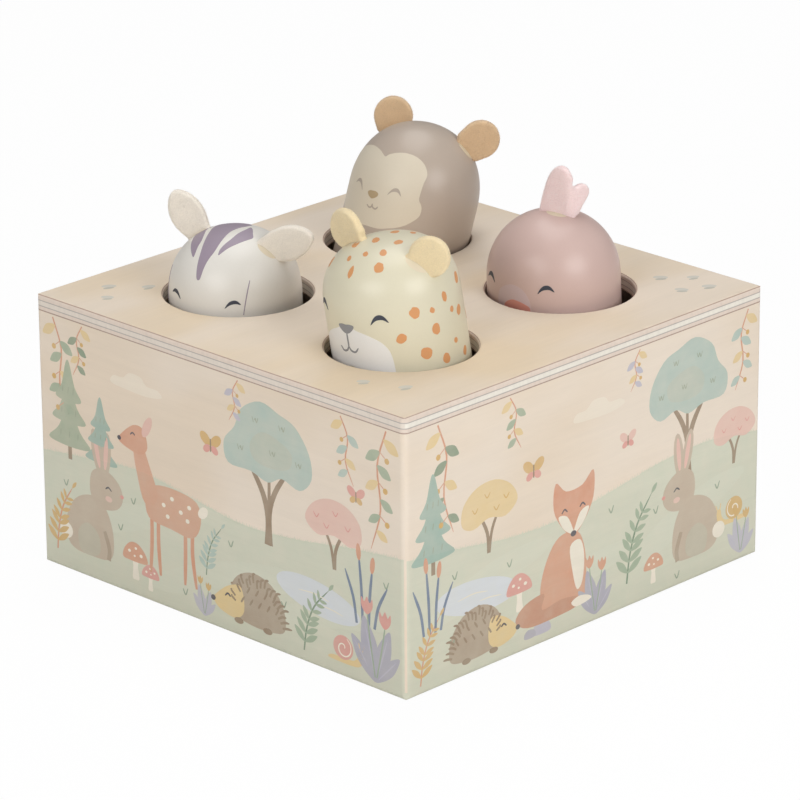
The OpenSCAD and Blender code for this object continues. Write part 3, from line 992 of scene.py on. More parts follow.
def bird_face(head, paint):
    patch = [(-6.4, 5), (-6, 0.9), (-4.9, -1), (-2.6, -2.5), (-0.2, -3.1), (2.3, -2.6), (4.3, -1.2),
             (5.5, 0.9), (6, 3.1), (5.6, 7), (0, 10), (-5, 9)]
    head.paint(head.spot(-84.6, 32.4, closed_curve(patch, 5)), paint.patch)
    beak = [(-4.5, 1), (-3.1, -0.3), (-1.1, -1), (1, -0.7), (3, 0), (4.5, 0.9), (4.6, 2.6),
            (2.8, 5.6), (0.2, 6.8), (-2.6, 5.6), (-4.4, 2.8)]
    head.paint(head.spot(-81.2, 34.9, closed_curve(beak, 5)), paint.beak, LINE)
    head.eyes(paint.dark, (5.2, 2.4, 1.35), (-53.8, 29.8, -0.3), (-114.9, 29, 0.3))


# ---------------------------------------------------------------- felt


def ear_frame(name):
    """Frame of a socket in millimetres: +Z out along the socket, the felt across Y."""
    animal, angle, out, turn, roll = EARS[name]
    foot = at_angle(out, math.radians(angle))
    return (
        peg_frame(animal)
        @ Matrix.Translation((*foot, dome_height(PEGS[animal], out)))
        @ Matrix.Rotation(math.radians(turn), 4, "Z")
        @ Matrix.Rotation(math.radians(roll), 4, "Y")
    )


def circle(x, y, r, n=48):
    """Outline of a circle."""
    return ellipse(x, y, r, r, 0, n)


def evenly(outline, step):
    """The same outline with points at even distances."""
    ring = outline + outline[:1]
    reach = np.concatenate([[0], np.cumsum([(q - p).length for p, q in zip(ring, ring[1:])])])
    n = max(int(reach[-1] / step), 8)
    at = np.arange(n) * reach[-1] / n
    x = np.interp(at, reach, [p.x for p in ring])
    y = np.interp(at, reach, [p.y for p in ring])
    return [Vector(p) for p in zip(x, y)]


def ear_outline(name):
    """Outline of the felt: what stands out of the head, and the tab in its socket."""
    wide, corner, low, high = SOCKET_R - 1.8, 1.6, -4.9, 4
    tab = hull([p for x in (-wide, wide) for y in (low, high) for p in circle(x, y, corner, 24)])
    if name.startswith("zebra"):
        droop = 19 if "right" in name else -3.5
        turn = Matrix.Rotation(math.radians(-droop), 2)
        half = [(3.5, 0), (4.9, 3.3), (5.3, 6.8), (4.4, 10.4), (2.3, 13.4)]
        leaf = closed_curve([(0, -1)] + half + [(0, 14.7)] + [(-x, y) for x, y in half[::-1]], 6)
        return star_outline([[turn @ p for p in leaf], tab], Vector((0, 3)))
    x, y, r = DISCS[name]
    disc = hull(circle(x, y, r) + circle(-4.4, 0.5, 0.7) + circle(4.4, 0.5, 0.7))
    return star_outline([disc, tab], Vector((x / 2, y / 2)))


def felt_layers(thick):
    """Insets and depths of a plate with soft edges."""
    t = thick / 2
    return [(0.75, -t), (0.25, -t + 0.22), (0, -t + 0.7), (0, t - 0.7), (0.25, t - 0.22), (0.75, t)]


def felt_ear(name):
    """A felt plate with a soft edge, a little cupped."""
    socket = ear_frame(name)
    rng = random.Random(name)
    sway = rng.uniform(-0.25, 0.25)

    def place(u, v, w):
        lift = max(v, 0.0)
        cup = 0.003 * lift * lift - 0.006 * u * u + sway * math.sin(u * 0.5) * lift / 12
        return socket @ Vector((u, FELT_MIDDLE - w + cup, v))

    shape = Shape()
    outline = evenly(ear_outline(name), 0.7)
    slab(shape, outline, felt_layers(FELT_T - 0.2), place, spacing=1.1)
    return shape, outline


def felt_crest(name):
    """The crest: heart-shaped felt, folded upright near its short lobe."""
    socket = ear_frame(name)
    fold_at, bend_r, fold = 3.2, 1.7, math.radians(68)

    def place(s, v, w):
        """s runs across the fold: flat before it, round it, and flat again after it."""
        a = min(max((s - fold_at) / bend_r, 0.0), fold)
        rest = max(s - fold_at - bend_r * fold, 0.0)
        x = min(s, fold_at) + bend_r * math.sin(a) + rest * math.cos(a)
        y = FELT_MIDDLE + bend_r * (1 - math.cos(a)) + rest * math.sin(a)
        return socket @ Vector((x + w * math.sin(a), y - w * math.cos(a), v))

    heart = [(-6.2, -0.5), (-5.5, 3), (-4.2, 7.2), (-2.5, 11.3), (-0.4, 13.8), (1.8, 14.4),
             (3.9, 13.3), (4.8, 11), (4.6, 9.3), (4.9, 8.2), (6, 7.9), (7.6, 8.3), (9.4, 7.9),
             (10.5, 6.3), (10.0, 4.3), (8, 2), (6.2, -0.4), (5, -1.3), (3.6, -5.8), (0, -6.5),
             (-3.7, -5.5), (-4.6, -1.2)]
    outline = evenly(closed_curve(heart, 4), 0.7)
    shape = Shape()
    slab(shape, outline, felt_layers(FELT_T - 0.4), place, spacing=1.0)
    return shape, outline


class Recipe(Nodes):
    """A Geometry Nodes tree with named inputs."""

    def __init__(self, name, inputs):
        super().__init__(bpy.data.node_groups.new(name, "GeometryNodeTree"))
        face = self.tree.interface
        face.new_socket("Geometry", in_out="INPUT", socket_type="NodeSocketGeometry")
        for label, kind in inputs.items():
            face.new_socket(label, in_out="INPUT", socket_type="NodeSocket" + kind)
        face.new_socket("Finish", in_out="INPUT", socket_type="NodeSocketMaterial")
        face.new_socket("Geometry", in_out="OUTPUT", socket_type="NodeSocketGeometry")
        self.given = self.node("NodeGroupInput")

    def input(self, label):
        return self.given.outputs[label]

    def number(self, label):
        return Value(self, self.input(label))

    def chance(self, low, high, seed):
        """Random numbers, or random vectors where the limits are vectors."""
        kind, first = ("FLOAT_VECTOR", 0) if isinstance(low, tuple) else ("FLOAT", 2)
        values = {first: low, first + 1: high, "Seed": seed}
        made = self.node("FunctionNodeRandomValue", {"data_type": kind}, values)
        return made.outputs[0 if kind == "FLOAT_VECTOR" else 1]

    def copies(self, points, instance, rotation, scale=(1, 1, 1)):
        """Puts the instance at every point and ends the tree."""
        placed = self.node(
            "GeometryNodeInstanceOnPoints",
            None,
            {"Points": points, "Instance": instance, "Rotation": rotation, "Scale": scale},
        )
        self.end(placed.outputs[0])

    def end(self, geometry):
        real = self.node("GeometryNodeRealizeInstances", None, {0: geometry}).outputs[0]
        finished = self.node(
            "GeometryNodeSetMaterial", None, {"Geometry": real, "Material": self.input("Finish")}
        )
        self.node("NodeGroupOutput", None, {0: finished.outputs[0]})

    def make(self, name, start, **values):
        """Runs the tree on a start mesh and returns what it makes as a plain object."""
        seed = show(name + "_start", start)
        modifier = seed.modifiers.new("recipe", "NODES")
        modifier.node_group = self.tree
        for item in self.tree.interface.items_tree:
            if item.in_out == "INPUT" and item.name in values:
                modifier[item.identifier] = values[item.name]
        graph = bpy.context.evaluated_depsgraph_get()
        mesh = bpy.data.meshes.new_from_object(seed.evaluated_get(graph))
        mesh.name = name
        bpy.data.objects.remove(seed)
        return show(name, mesh)


def fibre_recipe():
    """Loose fibres: thin needles that stand out of a surface at many angles."""
    r = Recipe(
        "loose_fibres",
        {"Density": "Float", "Length": "Float", "Radius": "Float", "Seed": "Int"},
    )
    spread = r.node(
        "GeometryNodeDistributePointsOnFaces",
        {"distribute_method": "RANDOM"},
        {"Mesh": r.input("Geometry"), "Density": r.input("Density"), "Seed": r.input("Seed")},
    )
    needle = r.node(
        "GeometryNodeMeshCone",
        {"fill_type": "TRIANGLE_FAN"},
        {"Vertices": 3, "Radius Top": 0.0, "Radius Bottom": r.input("Radius"),
         "Depth": r.input("Length")},
    )
    tilt = r.chance((-1.25, -1.25, -3.1), (1.25, 1.25, 3.1), r.input("Seed"))
    euler = r.node("FunctionNodeEulerToRotation", None, {0: tilt})
    turned = r.node(
        "FunctionNodeRotateRotation",
        {"rotation_space": "LOCAL"},
        {0: spread.outputs["Rotation"], 1: euler.outputs[0]},
    )
    size = r.chance(0.5, 1.15, r.number("Seed") + 7)
    r.copies(spread.outputs["Points"], needle.outputs["Mesh"], turned.outputs[0], size)
    return r


def coil_recipe():
    """A coil of round wire wound round a line; the line's points are even in turns."""
    r = Recipe("coil", {"Turns": "Int", "Coil radius": "Float", "Wire radius": "Float"})
    curve = r.node("GeometryNodeMeshToCurve", None, {0: r.input("Geometry")}).outputs[0]
    index = Value(r, r.node("GeometryNodeInputIndex").outputs[0])
    size = r.node("GeometryNodeAttributeDomainSize", {"component": "CURVE"}, {0: curve})
    last = Value(r, size.outputs["Point Count"]) - 1
    angle = index / last * r.number("Turns") * (2 * math.pi)
    along = r.node("GeometryNodeInputTangent").outputs[0]

    def vector(operation, *terms, **named):
        values = {**dict(enumerate(terms)), **named}
        return r.node("ShaderNodeVectorMath", {"operation": operation}, values).outputs[0]

    side = vector("NORMALIZE", vector("CROSS_PRODUCT", (0, 1, 0), along))
    other = vector("CROSS_PRODUCT", along, side)
    radius = r.number("Coil radius")
    shift = vector(
        "ADD",
        vector("SCALE", side, Scale=angle.math("COSINE", angle) * radius),
        vector("SCALE", other, Scale=angle.math("SINE", angle) * radius),
    )
    wound = r.node("GeometryNodeSetPosition", None, {"Geometry": curve, "Offset": shift}).outputs[0]
    ring = r.node(
        "GeometryNodeCurvePrimitiveCircle",
        {"mode": "RADIUS"},
        {"Resolution": 10, "Radius": r.input("Wire radius")},
    )
    tube = r.node(
        "GeometryNodeCurveToMesh",
        None,
        {"Curve": wound, "Profile Curve": ring.outputs["Curve"], "Fill Caps": True},
    )
    smooth = r.node("GeometryNodeSetShadeSmooth", None, {0: tube.outputs[0]})
    r.end(smooth.outputs[0])
    return r


def screw_recipe():
    """The same screw at each point."""
    r = Recipe("screws", {"Screw": "Object"})
    info = r.node("GeometryNodeObjectInfo", None, {"Object": r.input("Screw")})
    turn = r.chance((0, 0, -3.1), (0, 0, 3.1), 3)
    r.copies(r.input("Geometry"), info.outputs["Geometry"], turn)
    return r


# ---------------------------------------------------------------- printed meadow

INKS = {
    "meadow": rgb(207, 209, 189), "sweep": rgb(215, 217, 199),
    "sage": rgb(160, 175, 150), "moss": rgb(134, 152, 128), "teal": rgb(176, 194, 184),
    "pine": rgb(150, 178, 166), "ochre": rgb(212, 174, 112), "straw": rgb(226, 200, 148),
    "clay": rgb(213, 158, 130), "rust": rgb(196, 134, 106), "blush": rgb(226, 188, 174),
    "rose": rgb(220, 156, 146), "slate": rgb(124, 136, 156), "haze": rgb(172, 168, 184),
    "mist": rgb(190, 186, 198), "taupe": rgb(178, 160, 140), "bark": rgb(158, 138, 116),
    "cream": rgb(238, 229, 212), "pond": rgb(214, 217, 220), "ink": rgb(96, 92, 96),
    "fur": rgb(196, 178, 158), "mark": rgb(192, 196, 190), "fleck": rgb(150, 160, 152),
}


class Print:
    """Printed picture on one wall. u runs along the wall as seen from outside, v is the height."""

    def __init__(self, quarter):
        self.turn = Matrix.Rotation(quarter * math.pi / 2, 3, "Z")
        self.shape = Shape()
        self.level = 0
        self.motifs = 0
        self.held = None

    def place(self, u, v, w):
        return self.turn @ Vector((u, -HALF - w, v))

    def ink(self, outline, tone, cover=1.0):
        """Prints an outline a little over the one before, or holds it while a motif is drawn."""
        if self.held is not None:
            self.held.append((outline, tone, cover))
            return
        lift = 0.012 + 0.0022 * self.level + 0.00011 * self.motifs
        self.level += 1
        slab(self.shape, outline, [(0, SINK), (0, lift)], self.place, (*INKS[tone], cover))

    def motif(self, draw, x, y, size, flip=1, facts=None):
        """Draws a motif with its foot at (x, y), moved just enough to stay on the wall."""
        self.level = 2
        self.motifs += 1
        self.held = []
        draw(Pen(self, x, y, size, flip), **(facts or {}))
        held, self.held = self.held, None
        low, high = Vector((MARGIN - HALF, 1.0)), Vector((HALF - MARGIN, SIDE_H - 0.5))
        shift = Vector((0, 0))
        for k in (0, 1):
            row = [p[k] for outline, *_ in held for p in outline]
            shift[k] = max(low[k] - min(row), 0) - max(max(row) - high[k], 0)
        for outline, *how in held:
            self.ink([p + shift for p in outline], *how)

    def picture(self, heights, sweeps, motifs, ticks):
        """Prints a wall's picture and returns the upper edge of its ground."""
        n = len(heights) - 1
        edge = open_curve([(-HALF + 2 * HALF * k / n, h) for k, h in enumerate(heights)], 14)
        for k, (x0, y0, x1, y1, wide) in enumerate(sweeps):
            self.level = 0.3 * k
            middle = ((x0 + x1) / 2, (y0 + y1) / 2 + 2)
            self.ink(stroke([(x0, y0), middle, (x1, y1)], wide, 0.2, 0.2), "sweep", 0.3)
        for row in motifs:
            self.motif(*row)
        for x, y in ticks:
            self.motif(tick, x, y, 1.7)
        return edge


class Pen:
    """Draws in the small frame of one motif: x to the right, y up, in millimetres."""

    def __init__(self, wall, x, y, size, flip):
        self.wall, self.x, self.y, self.size, self.flip = wall, x, y, size, flip

    def at(self, p):
        return Vector((self.x + self.flip * self.size * p[0], self.y + self.size * p[1]))

    def blob(self, points, tone, cover=1.0):
        self.wall.ink(closed_curve([self.at(p) for p in points], 4), tone, cover)

    def line(self, points, tone, width, start, end, cover=1.0):
        pts = [self.at(p) for p in points]
        self.wall.ink(stroke(pts, width * self.size, start, end, 4), tone, cover)

    def oval(self, x, y, a, b, tone, tilt=0, cover=1.0, n=16):
        p = self.at((x, y))
        self.wall.ink(
            ellipse(p.x, p.y, a * self.size, b * self.size, self.flip * tilt, n), tone, cover
        )

    def leaf(self, x, y, angle, long, wide, tone, cover=1.0):
        c, s = math.cos(math.radians(angle)), math.sin(math.radians(angle))
        half = [(0, 0), (0.25, 0.36), (0.55, 0.5), (0.82, 0.3), (1, 0)]
        row = [(a * long, b * wide) for a, b in half]
        row += [(a * long, -b * wide) for a, b in half[-2:0:-1]]
        self.blob([(x + a * c - b * s, y + a * s + b * c) for a, b in row], tone, cover)


def tree(pen, crown="teal", deep="pine"):
    """A round-headed tree on a forked trunk."""
    pen.line([(-0.4, 0), (-0.2, 6), (-1.6, 11), (-5, 16)], "bark", 1.5, 1.2, 0.4)
    pen.line([(0.3, 0), (0.3, 7), (2, 12), (5.5, 17)], "bark", 1.3, 1.2, 0.4)
    pen.line([(0, 2), (0.2, 9), (0.4, 18)], "bark", 0.9, 0.9, 0.4)
    pen.blob([(-11.5, 15), (-12.6, 19.5), (-9.5, 23.2), (-7.4, 27.6), (-2, 30.4), (3.4, 29),
              (8, 27.4), (11.8, 22.6), (12.4, 17.4), (9, 14.2), (4, 15.4), (0, 13.6),
              (-5, 14.8)], crown, 0.86)
    pen.blob([(-4, 17.6), (-5, 21), (-1.6, 24), (3, 23.4), (6.8, 21.4), (6, 18), (1, 16.8)], deep,
             0.6)
    for x, y in ((-8, 19), (-3.6, 26), (4, 26), (8.6, 19.4), (1.2, 20)):
        pen.line([(x - 0.7, y + 0.7), (x - 0.2, y - 0.5), (x + 0.2, y + 0.5), (x + 0.6, y - 0.4),
                  (x + 1, y + 0.7)], "moss", 0.22, 0.6, 0.6, 0.8)


def bush(pen, tone="blush", deep="rose"):
    """A round bush with small marks in its crown."""
    pen.line([(0, 0), (-0.4, 4), (-2.4, 8)], "bark", 0.8, 1.1, 0.4)
    pen.line([(0.1, 0), (0.9, 4.4), (2.8, 8)], "bark", 0.7, 1.1, 0.4)
    pen.blob([(-7, 7), (-6.6, 10.8), (-3.2, 13.4), (1.6, 13.8), (5.8, 11.8), (7.6, 8.4), (4.4, 6),
              (0, 6.8), (-4, 5.6)], tone, 0.85)
    for x, y in ((-3.6, 9), (-0.4, 11.2), (2, 8.2), (4.6, 9.8)):
        pen.line([(x - 0.7, y + 0.5), (x, y - 0.4), (x + 0.8, y + 0.5)], deep, 0.25, 0.5, 0.5)


def fir(pen, tone="sage", deep="moss"):
    """A fir of three tiers."""
    pen.line([(0, 0), (0, 5)], "bark", 1.1, 1, 1)
    for y, w, h in ((3.6, 6.2, 8.4), (8.6, 5, 7.8), (13.2, 3.8, 7.6)):
        pen.blob([(-w, y), (-w * 0.5, y + h * 0.36), (-0.5, y + h), (0.5, y + h),
                  (w * 0.5, y + h * 0.36), (w, y), (w * 0.4, y - 0.8), (-w * 0.4, y - 0.8)],
                 tone, 0.84)
        for x in (-w * 0.4, 0.1, w * 0.42):
            pen.line([(x, y + 2.4), (x - 0.2, y + 1)], deep, 0.26, 0.6, 0.4, 0.8)


def mushroom(pen, tone="clay"):
    """A spotted mushroom."""
    pen.blob([(-0.9, 0), (-0.7, 2.6), (-0.9, 4.6), (0.9, 4.6), (0.7, 2.6), (1, 0), (0, -0.3)],
             "cream")
    pen.blob([(-3.6, 3.9), (-3.2, 5.8), (-1.4, 7.5), (0.8, 7.6), (2.9, 6), (3.6, 4), (1.6, 3.6),
              (-1.6, 3.6)], tone, 0.9)
    for x, y, r in ((-1.7, 5.6, 0.42), (0.2, 6.5, 0.36), (1.7, 5.2, 0.46), (-0.2, 4.8, 0.3)):
        pen.oval(x, y, r, r * 0.8, "cream")


def fern(pen, tone="ochre", rib="clay", rows=7, lean=10):
    """A fern frond: a curved rib with pairs of short leaves."""
    spine = [(0, 0), (lean * 0.12, 5), (lean * 0.42, 10), (lean, 14.5)]
    pen.line(spine, rib, 0.42, 0.9, 0.2)
    line = open_curve(spine, 8)
    for k in range(rows):
        t = 0.16 + 0.78 * k / rows
        j = int(t * (len(line) - 1))
        p, d = line[j], (line[j + 1] - line[j]).normalized()
        along = math.degrees(math.atan2(d.y, d.x))
        long = 4.4 * (1 - 0.62 * t)
        for side in (-1, 1):
            pen.leaf(p.x, p.y, along + side * 52, long, long * 0.34, tone, 0.9)
    pen.leaf(spine[-1][0], spine[-1][1], 50, 2, 0.8, tone, 0.9)


def reeds(pen, tone="slate", head="clay"):
    """Upright reeds with dark seed heads."""
    for x, lean, h in ((-2.4, -2.6, 9), (-1, -0.8, 12.4), (0.4, 0.9, 10.6), (1.7, 3, 8)):
        pen.line([(x, 0), (x + lean * 0.3, h * 0.5), (x + lean, h)], tone, 0.62, 0.9, 0.3)
    for x, y, tilt in ((-1.85, 12.8, 4), (1.35, 11.2, -6)):
        pen.oval(x, y, 0.55, 1.5, head, tilt)


def tulips(pen, tone="rose", leaf="haze"):
    """A clump of broad leaves with two flowers."""
    for angle, long in ((128, 11), (104, 14), (72, 12.5), (46, 9.5)):
        pen.leaf(0, 0, angle, long, long * 0.32, leaf, 0.85)
        c, s = math.cos(math.radians(angle)), math.sin(math.radians(angle))
        pen.line([(c, s), (0.5 * long * c, 0.5 * long * s), (0.86 * long * c, 0.86 * long * s)],
                 "mist", 0.3, 0.6, 0.2)
    for x, y in ((-2.4, 15.5), (2.6, 13.6)):
        pen.line([(x * 0.1, 1), (x * 0.7, y * 0.6), (x, y - 1)], "sage", 0.4, 0.8, 0.5)
        pen.blob([(x - 1.5, y + 2), (x - 1.5, y), (x, y - 1.5), (x + 1.5, y), (x + 1.5, y + 2),
                  (x + 0.75, y + 1.1), (x, y + 2.3), (x - 0.75, y + 1.1)], tone, 0.92)


def branch(pen, leafy="sage", twig="clay", rows=6, drop=20, berry="ochre"):
    """A branch that hangs from the top edge, with round leaves and berries."""
    spine = [(0, 0), (2.4, -drop * 0.3), (1.6, -drop * 0.66), (4.2, -drop)]
    pen.line(spine, twig, 0.45, 0.9, 0.25)
    line = open_curve(spine, 8)
    for k in range(rows):
        t = 0.12 + 0.86 * k / rows
        j = min(int(t * (len(line) - 1)), len(line) - 2)
        p = line[j]
        side = 1 if k % 2 else -1
        tone = leafy if k % 3 else "straw"
        pen.leaf(p.x, p.y, -90 + side * 58, 4.6 - 0.2 * k, 2.3 - 0.1 * k, tone, 0.9)
        if k % 2:
            pen.line([(p.x, p.y), (p.x - side * 1.6, p.y - 1.2)], twig, 0.2, 0.7, 0.7)
            pen.oval(p.x - side * 1.9, p.y - 1.5, 0.62, 0.62, berry)


def rabbit(pen):
    """A rabbit that sits, seen from its side."""
    pen.blob([(-6.4, 1.6), (-6.6, 5), (-4.4, 8.8), (-0.6, 10.4), (2.4, 9.4), (4.2, 6), (4.4, 2),
              (3, 0.2), (-1, -0.1), (-4.6, 0.1)], "fur", 0.92)
    pen.oval(-6.7, 2.8, 1.5, 1.4, "cream")
    for x, tilt in ((1.1, 12), (3.2, -6)):
        pen.oval(x, 18.2, 1.15, 3.9, "fur", tilt, 0.92)
        pen.oval(x, 18.4, 0.5, 2.9, "blush", tilt)
    pen.blob([(-0.8, 12), (0, 14.8), (3, 15.6), (6, 14), (6.9, 11.6), (5.6, 9.6), (2.6, 8.8),
              (0, 9.6)], "fur", 0.95)
    pen.line([(2.9, 12.4), (3.6, 12.8), (4.3, 12.3)], "ink", 0.3, 0.6, 0.6)
    pen.oval(6.7, 12, 0.42, 0.34, "rose")
    pen.oval(3.6, 10.8, 0.8, 0.5, "blush", 0, 0.8)
    pen.blob([(-3.4, 0.4), (-3.8, 3.6), (-1.6, 5.4), (0.9, 4), (1.2, 1), (-0.8, -0.1)], "taupe",
             0.5)
    pen.line([(2.4, 5), (3.4, 2.2), (3.2, 0.2)], "taupe", 0.9, 0.8, 1)


def hedgehog(pen):
    """A hedgehog with rows of spines."""
    pen.blob([(-7.4, 1), (-7.2, 4.6), (-4.6, 7.8), (-0.6, 8.8), (3, 7.4), (4.8, 4.4), (4.4, 1),
              (0, -0.1), (-4.6, 0)], "taupe", 0.95)
    pen.blob([(2.2, 5.6), (5, 5.2), (7.9, 3), (8.4, 2), (7, 0.7), (3.6, 0.1), (1.6, 1.8)], "straw",
             0.95)
    for k in range(21):
        a = math.radians(20 + 8 * k)
        r = 6.4 + 0.5 * (k % 3)
        x, y = -1.2 + r * math.cos(a) * 0.92, 1.6 + r * math.sin(a) * 0.94
        pen.line([(x * 0.84 - 0.2, y * 0.84), (x, y), (x * 1.06 - 0.5, y * 1.03)], "bark", 0.42,
                 0.8, 0.2)
    for k in range(9):
        x = -5.4 + (k % 5) * 1.9 + 0.6 * (k // 5)
        y = 3.2 + 1.9 * (k // 5)
        pen.line([(x, y), (x - 0.7, y + 1.1)], "bark", 0.36, 0.8, 0.3)
    pen.line([(4.6, 3.4), (5.2, 3.8), (5.8, 3.3)], "ink", 0.3, 0.6, 0.6)
    pen.oval(8.5, 2.2, 0.5, 0.45, "ink")
    for x in (-3.6, 2.8):
        pen.oval(x, -0.1, 1, 0.5, "bark")


def fox(pen):
    """A fox that sits, its tail round its feet."""
    pen.blob([(-4.4, 0.2), (-5.4, 4), (-4, 8.4), (-1.4, 11.2), (2.4, 11), (4, 8), (4.4, 3.6),
              (4, 0.1), (0, -0.3)], "clay", 0.9)
    pen.blob([(0.9, 9), (1.4, 5.2), (2.4, 2), (3.6, 3.2), (3.9, 7), (3, 9.6)], "cream", 0.9)
    pen.blob([(-2.6, 15.6), (-2.2, 19.6), (0, 17.8), (3.4, 17.9), (5.8, 19.6), (5.8, 15.4),
              (3.8, 12.2), (1.6, 10.6), (-0.6, 12.2)], "clay", 0.95)
    pen.blob([(-1.6, 14.2), (0.2, 13.9), (1.4, 11.8), (1.6, 10.8), (-0.4, 12)], "cream", 0.95)
    pen.blob([(4.9, 14.2), (3.1, 13.9), (1.9, 11.8), (1.7, 10.8), (3.6, 12)], "cream", 0.95)
    for x in (-0.3, 3.5):
        pen.line([(x - 0.6, 14.6), (x, 15.1), (x + 0.6, 14.6)], "ink", 0.28, 0.6, 0.6)
    pen.oval(1.6, 10.9, 0.6, 0.46, "ink")
    pen.blob([(-4.6, 3.4), (-8.6, 2.8), (-10.6, 0.8), (-8, -0.9), (-2, -1), (2.4, -0.6), (2.8, 0.8),
              (-1, 1.4), (-5, 1)], "rust", 0.8)
    pen.blob([(2.8, 0.8), (4.8, 0.4), (5.4, -0.3), (2.4, -0.7), (1.2, 0.2)], "cream")


def fawn(pen):
    """A spotted fawn that stands."""
    for x, foot in ((-4.6, -5.2), (-3.1, -2.8), (2.6, 2.4), (4, 4.5)):
        pen.line([(x, 9), (x + 0.1, 5), (foot, 0)], "clay", 0.75, 1, 0.6)
    pen.blob([(-6.4, 10.6), (-5.6, 13.6), (-1.4, 14.4), (3.2, 14), (5.2, 12), (4.6, 8.6),
              (0, 8), (-4.6, 7.8)], "clay", 0.8)
    pen.blob([(2.6, 12), (4.4, 17), (6, 20), (7.6, 19), (7, 15), (5.4, 10.6)], "clay", 0.82)
    pen.blob([(4.6, 19.4), (5.4, 22), (7.6, 22.2), (10.4, 20), (10.6, 19), (8.4, 18.2), (6, 18)],
             "clay", 0.9)
    pen.oval(4.6, 22.6, 0.8, 1.9, "blush", 28)
    pen.line([(7.2, 20.7), (7.7, 21), (8.2, 20.6)], "ink", 0.26, 0.6, 0.6)
    pen.oval(10.6, 19.5, 0.4, 0.36, "ink")
    pen.oval(-6.9, 12.4, 1.2, 0.8, "cream", -40)
    for x, y in ((-4, 12.4), (-2.2, 11.2), (-0.4, 12.8), (1.4, 11.4), (-3.6, 10.2), (0.6, 9.8)):
        pen.oval(x, y, 0.4, 0.34, "cream")


def snail(pen, shell="rose"):
    """A snail with a spiral on its shell."""
    pen.blob([(-5, 0), (-4.2, 0.9), (-1, 1.1), (2.4, 1.2), (3.8, 2.6), (4.2, 4.2), (5.4, 4.2),
              (5.5, 2.4), (4.4, 0.3), (1, -0.2)], "straw")
    pen.line([(4.5, 4), (4.1, 5.8)], "straw", 0.32, 0.8, 0.8)
    pen.line([(5.2, 4), (5.9, 5.6)], "straw", 0.32, 0.8, 0.8)
    pen.oval(-0.6, 3.4, 3, 2.8, shell, 0, 0.85, 24)
    spiral = [
        (-0.6 + (0.4 + 0.19 * k) * math.cos(0.62 * k), 3.3 + (0.4 + 0.19 * k) * math.sin(0.62 * k))
        for k in range(13)
    ]
    pen.line(spiral, "cream", 0.34, 0.6, 0.4)


def butterfly(pen, tone="ochre", second="rose"):
    """A butterfly with two pairs of wings."""
    for side in (-1, 1):
        pen.oval(side * 1.5, 1.1, 1.7, 1.1, tone, side * 38, 0.9)
    for side in (-1, 1):
        pen.oval(side * 1.1, -0.9, 1.1, 0.8, second, side * -34, 0.9)
    pen.line([(0, -1.4), (0, 1.3)], "bark", 0.4, 0.8, 0.8)


def tick(pen, tone="moss"):
    """A small tuft of grass."""
    pen.line([(-0.75, 1), (-0.1, 0), (0.5, 1.3)], tone, 0.3, 0.5, 0.5, 0.8)


def pond(pen):
    """A pond with two glints."""
    pen.oval(0, 0, 15, 4.6, "pond", -7, 0.95, 36)
    pen.line([(-7, 0.6), (-1, 1), (4, 0.2)], "cream", 0.35, 0.3, 0.3, 0.7)
    pen.line([(1, -1.6), (5, -1.7), (9, -2.3)], "cream", 0.35, 0.3, 0.3, 0.7)


def stones(pen, tone="mist"):
    """Two stones."""
    pen.blob([(-3.4, 0), (-3, 1.7), (-1, 2.4), (1, 1.6), (1.4, 0), (-1, -0.3)], tone, 0.9)
    pen.blob([(0.6, 0), (1, 1.2), (2.6, 1.5), (3.6, 0.8), (3.6, -0.1), (2, -0.3)], "haze", 0.8)


def cloud(pen):
    """A pale cloud."""
    pen.blob([(-9, 0), (-8, 2), (-4.6, 2.2), (-2, 4), (2, 3.8), (4, 2), (8, 1.8), (9.4, 0.2),
              (4, -0.8), (-4, -0.6)], "cream", 0.55)


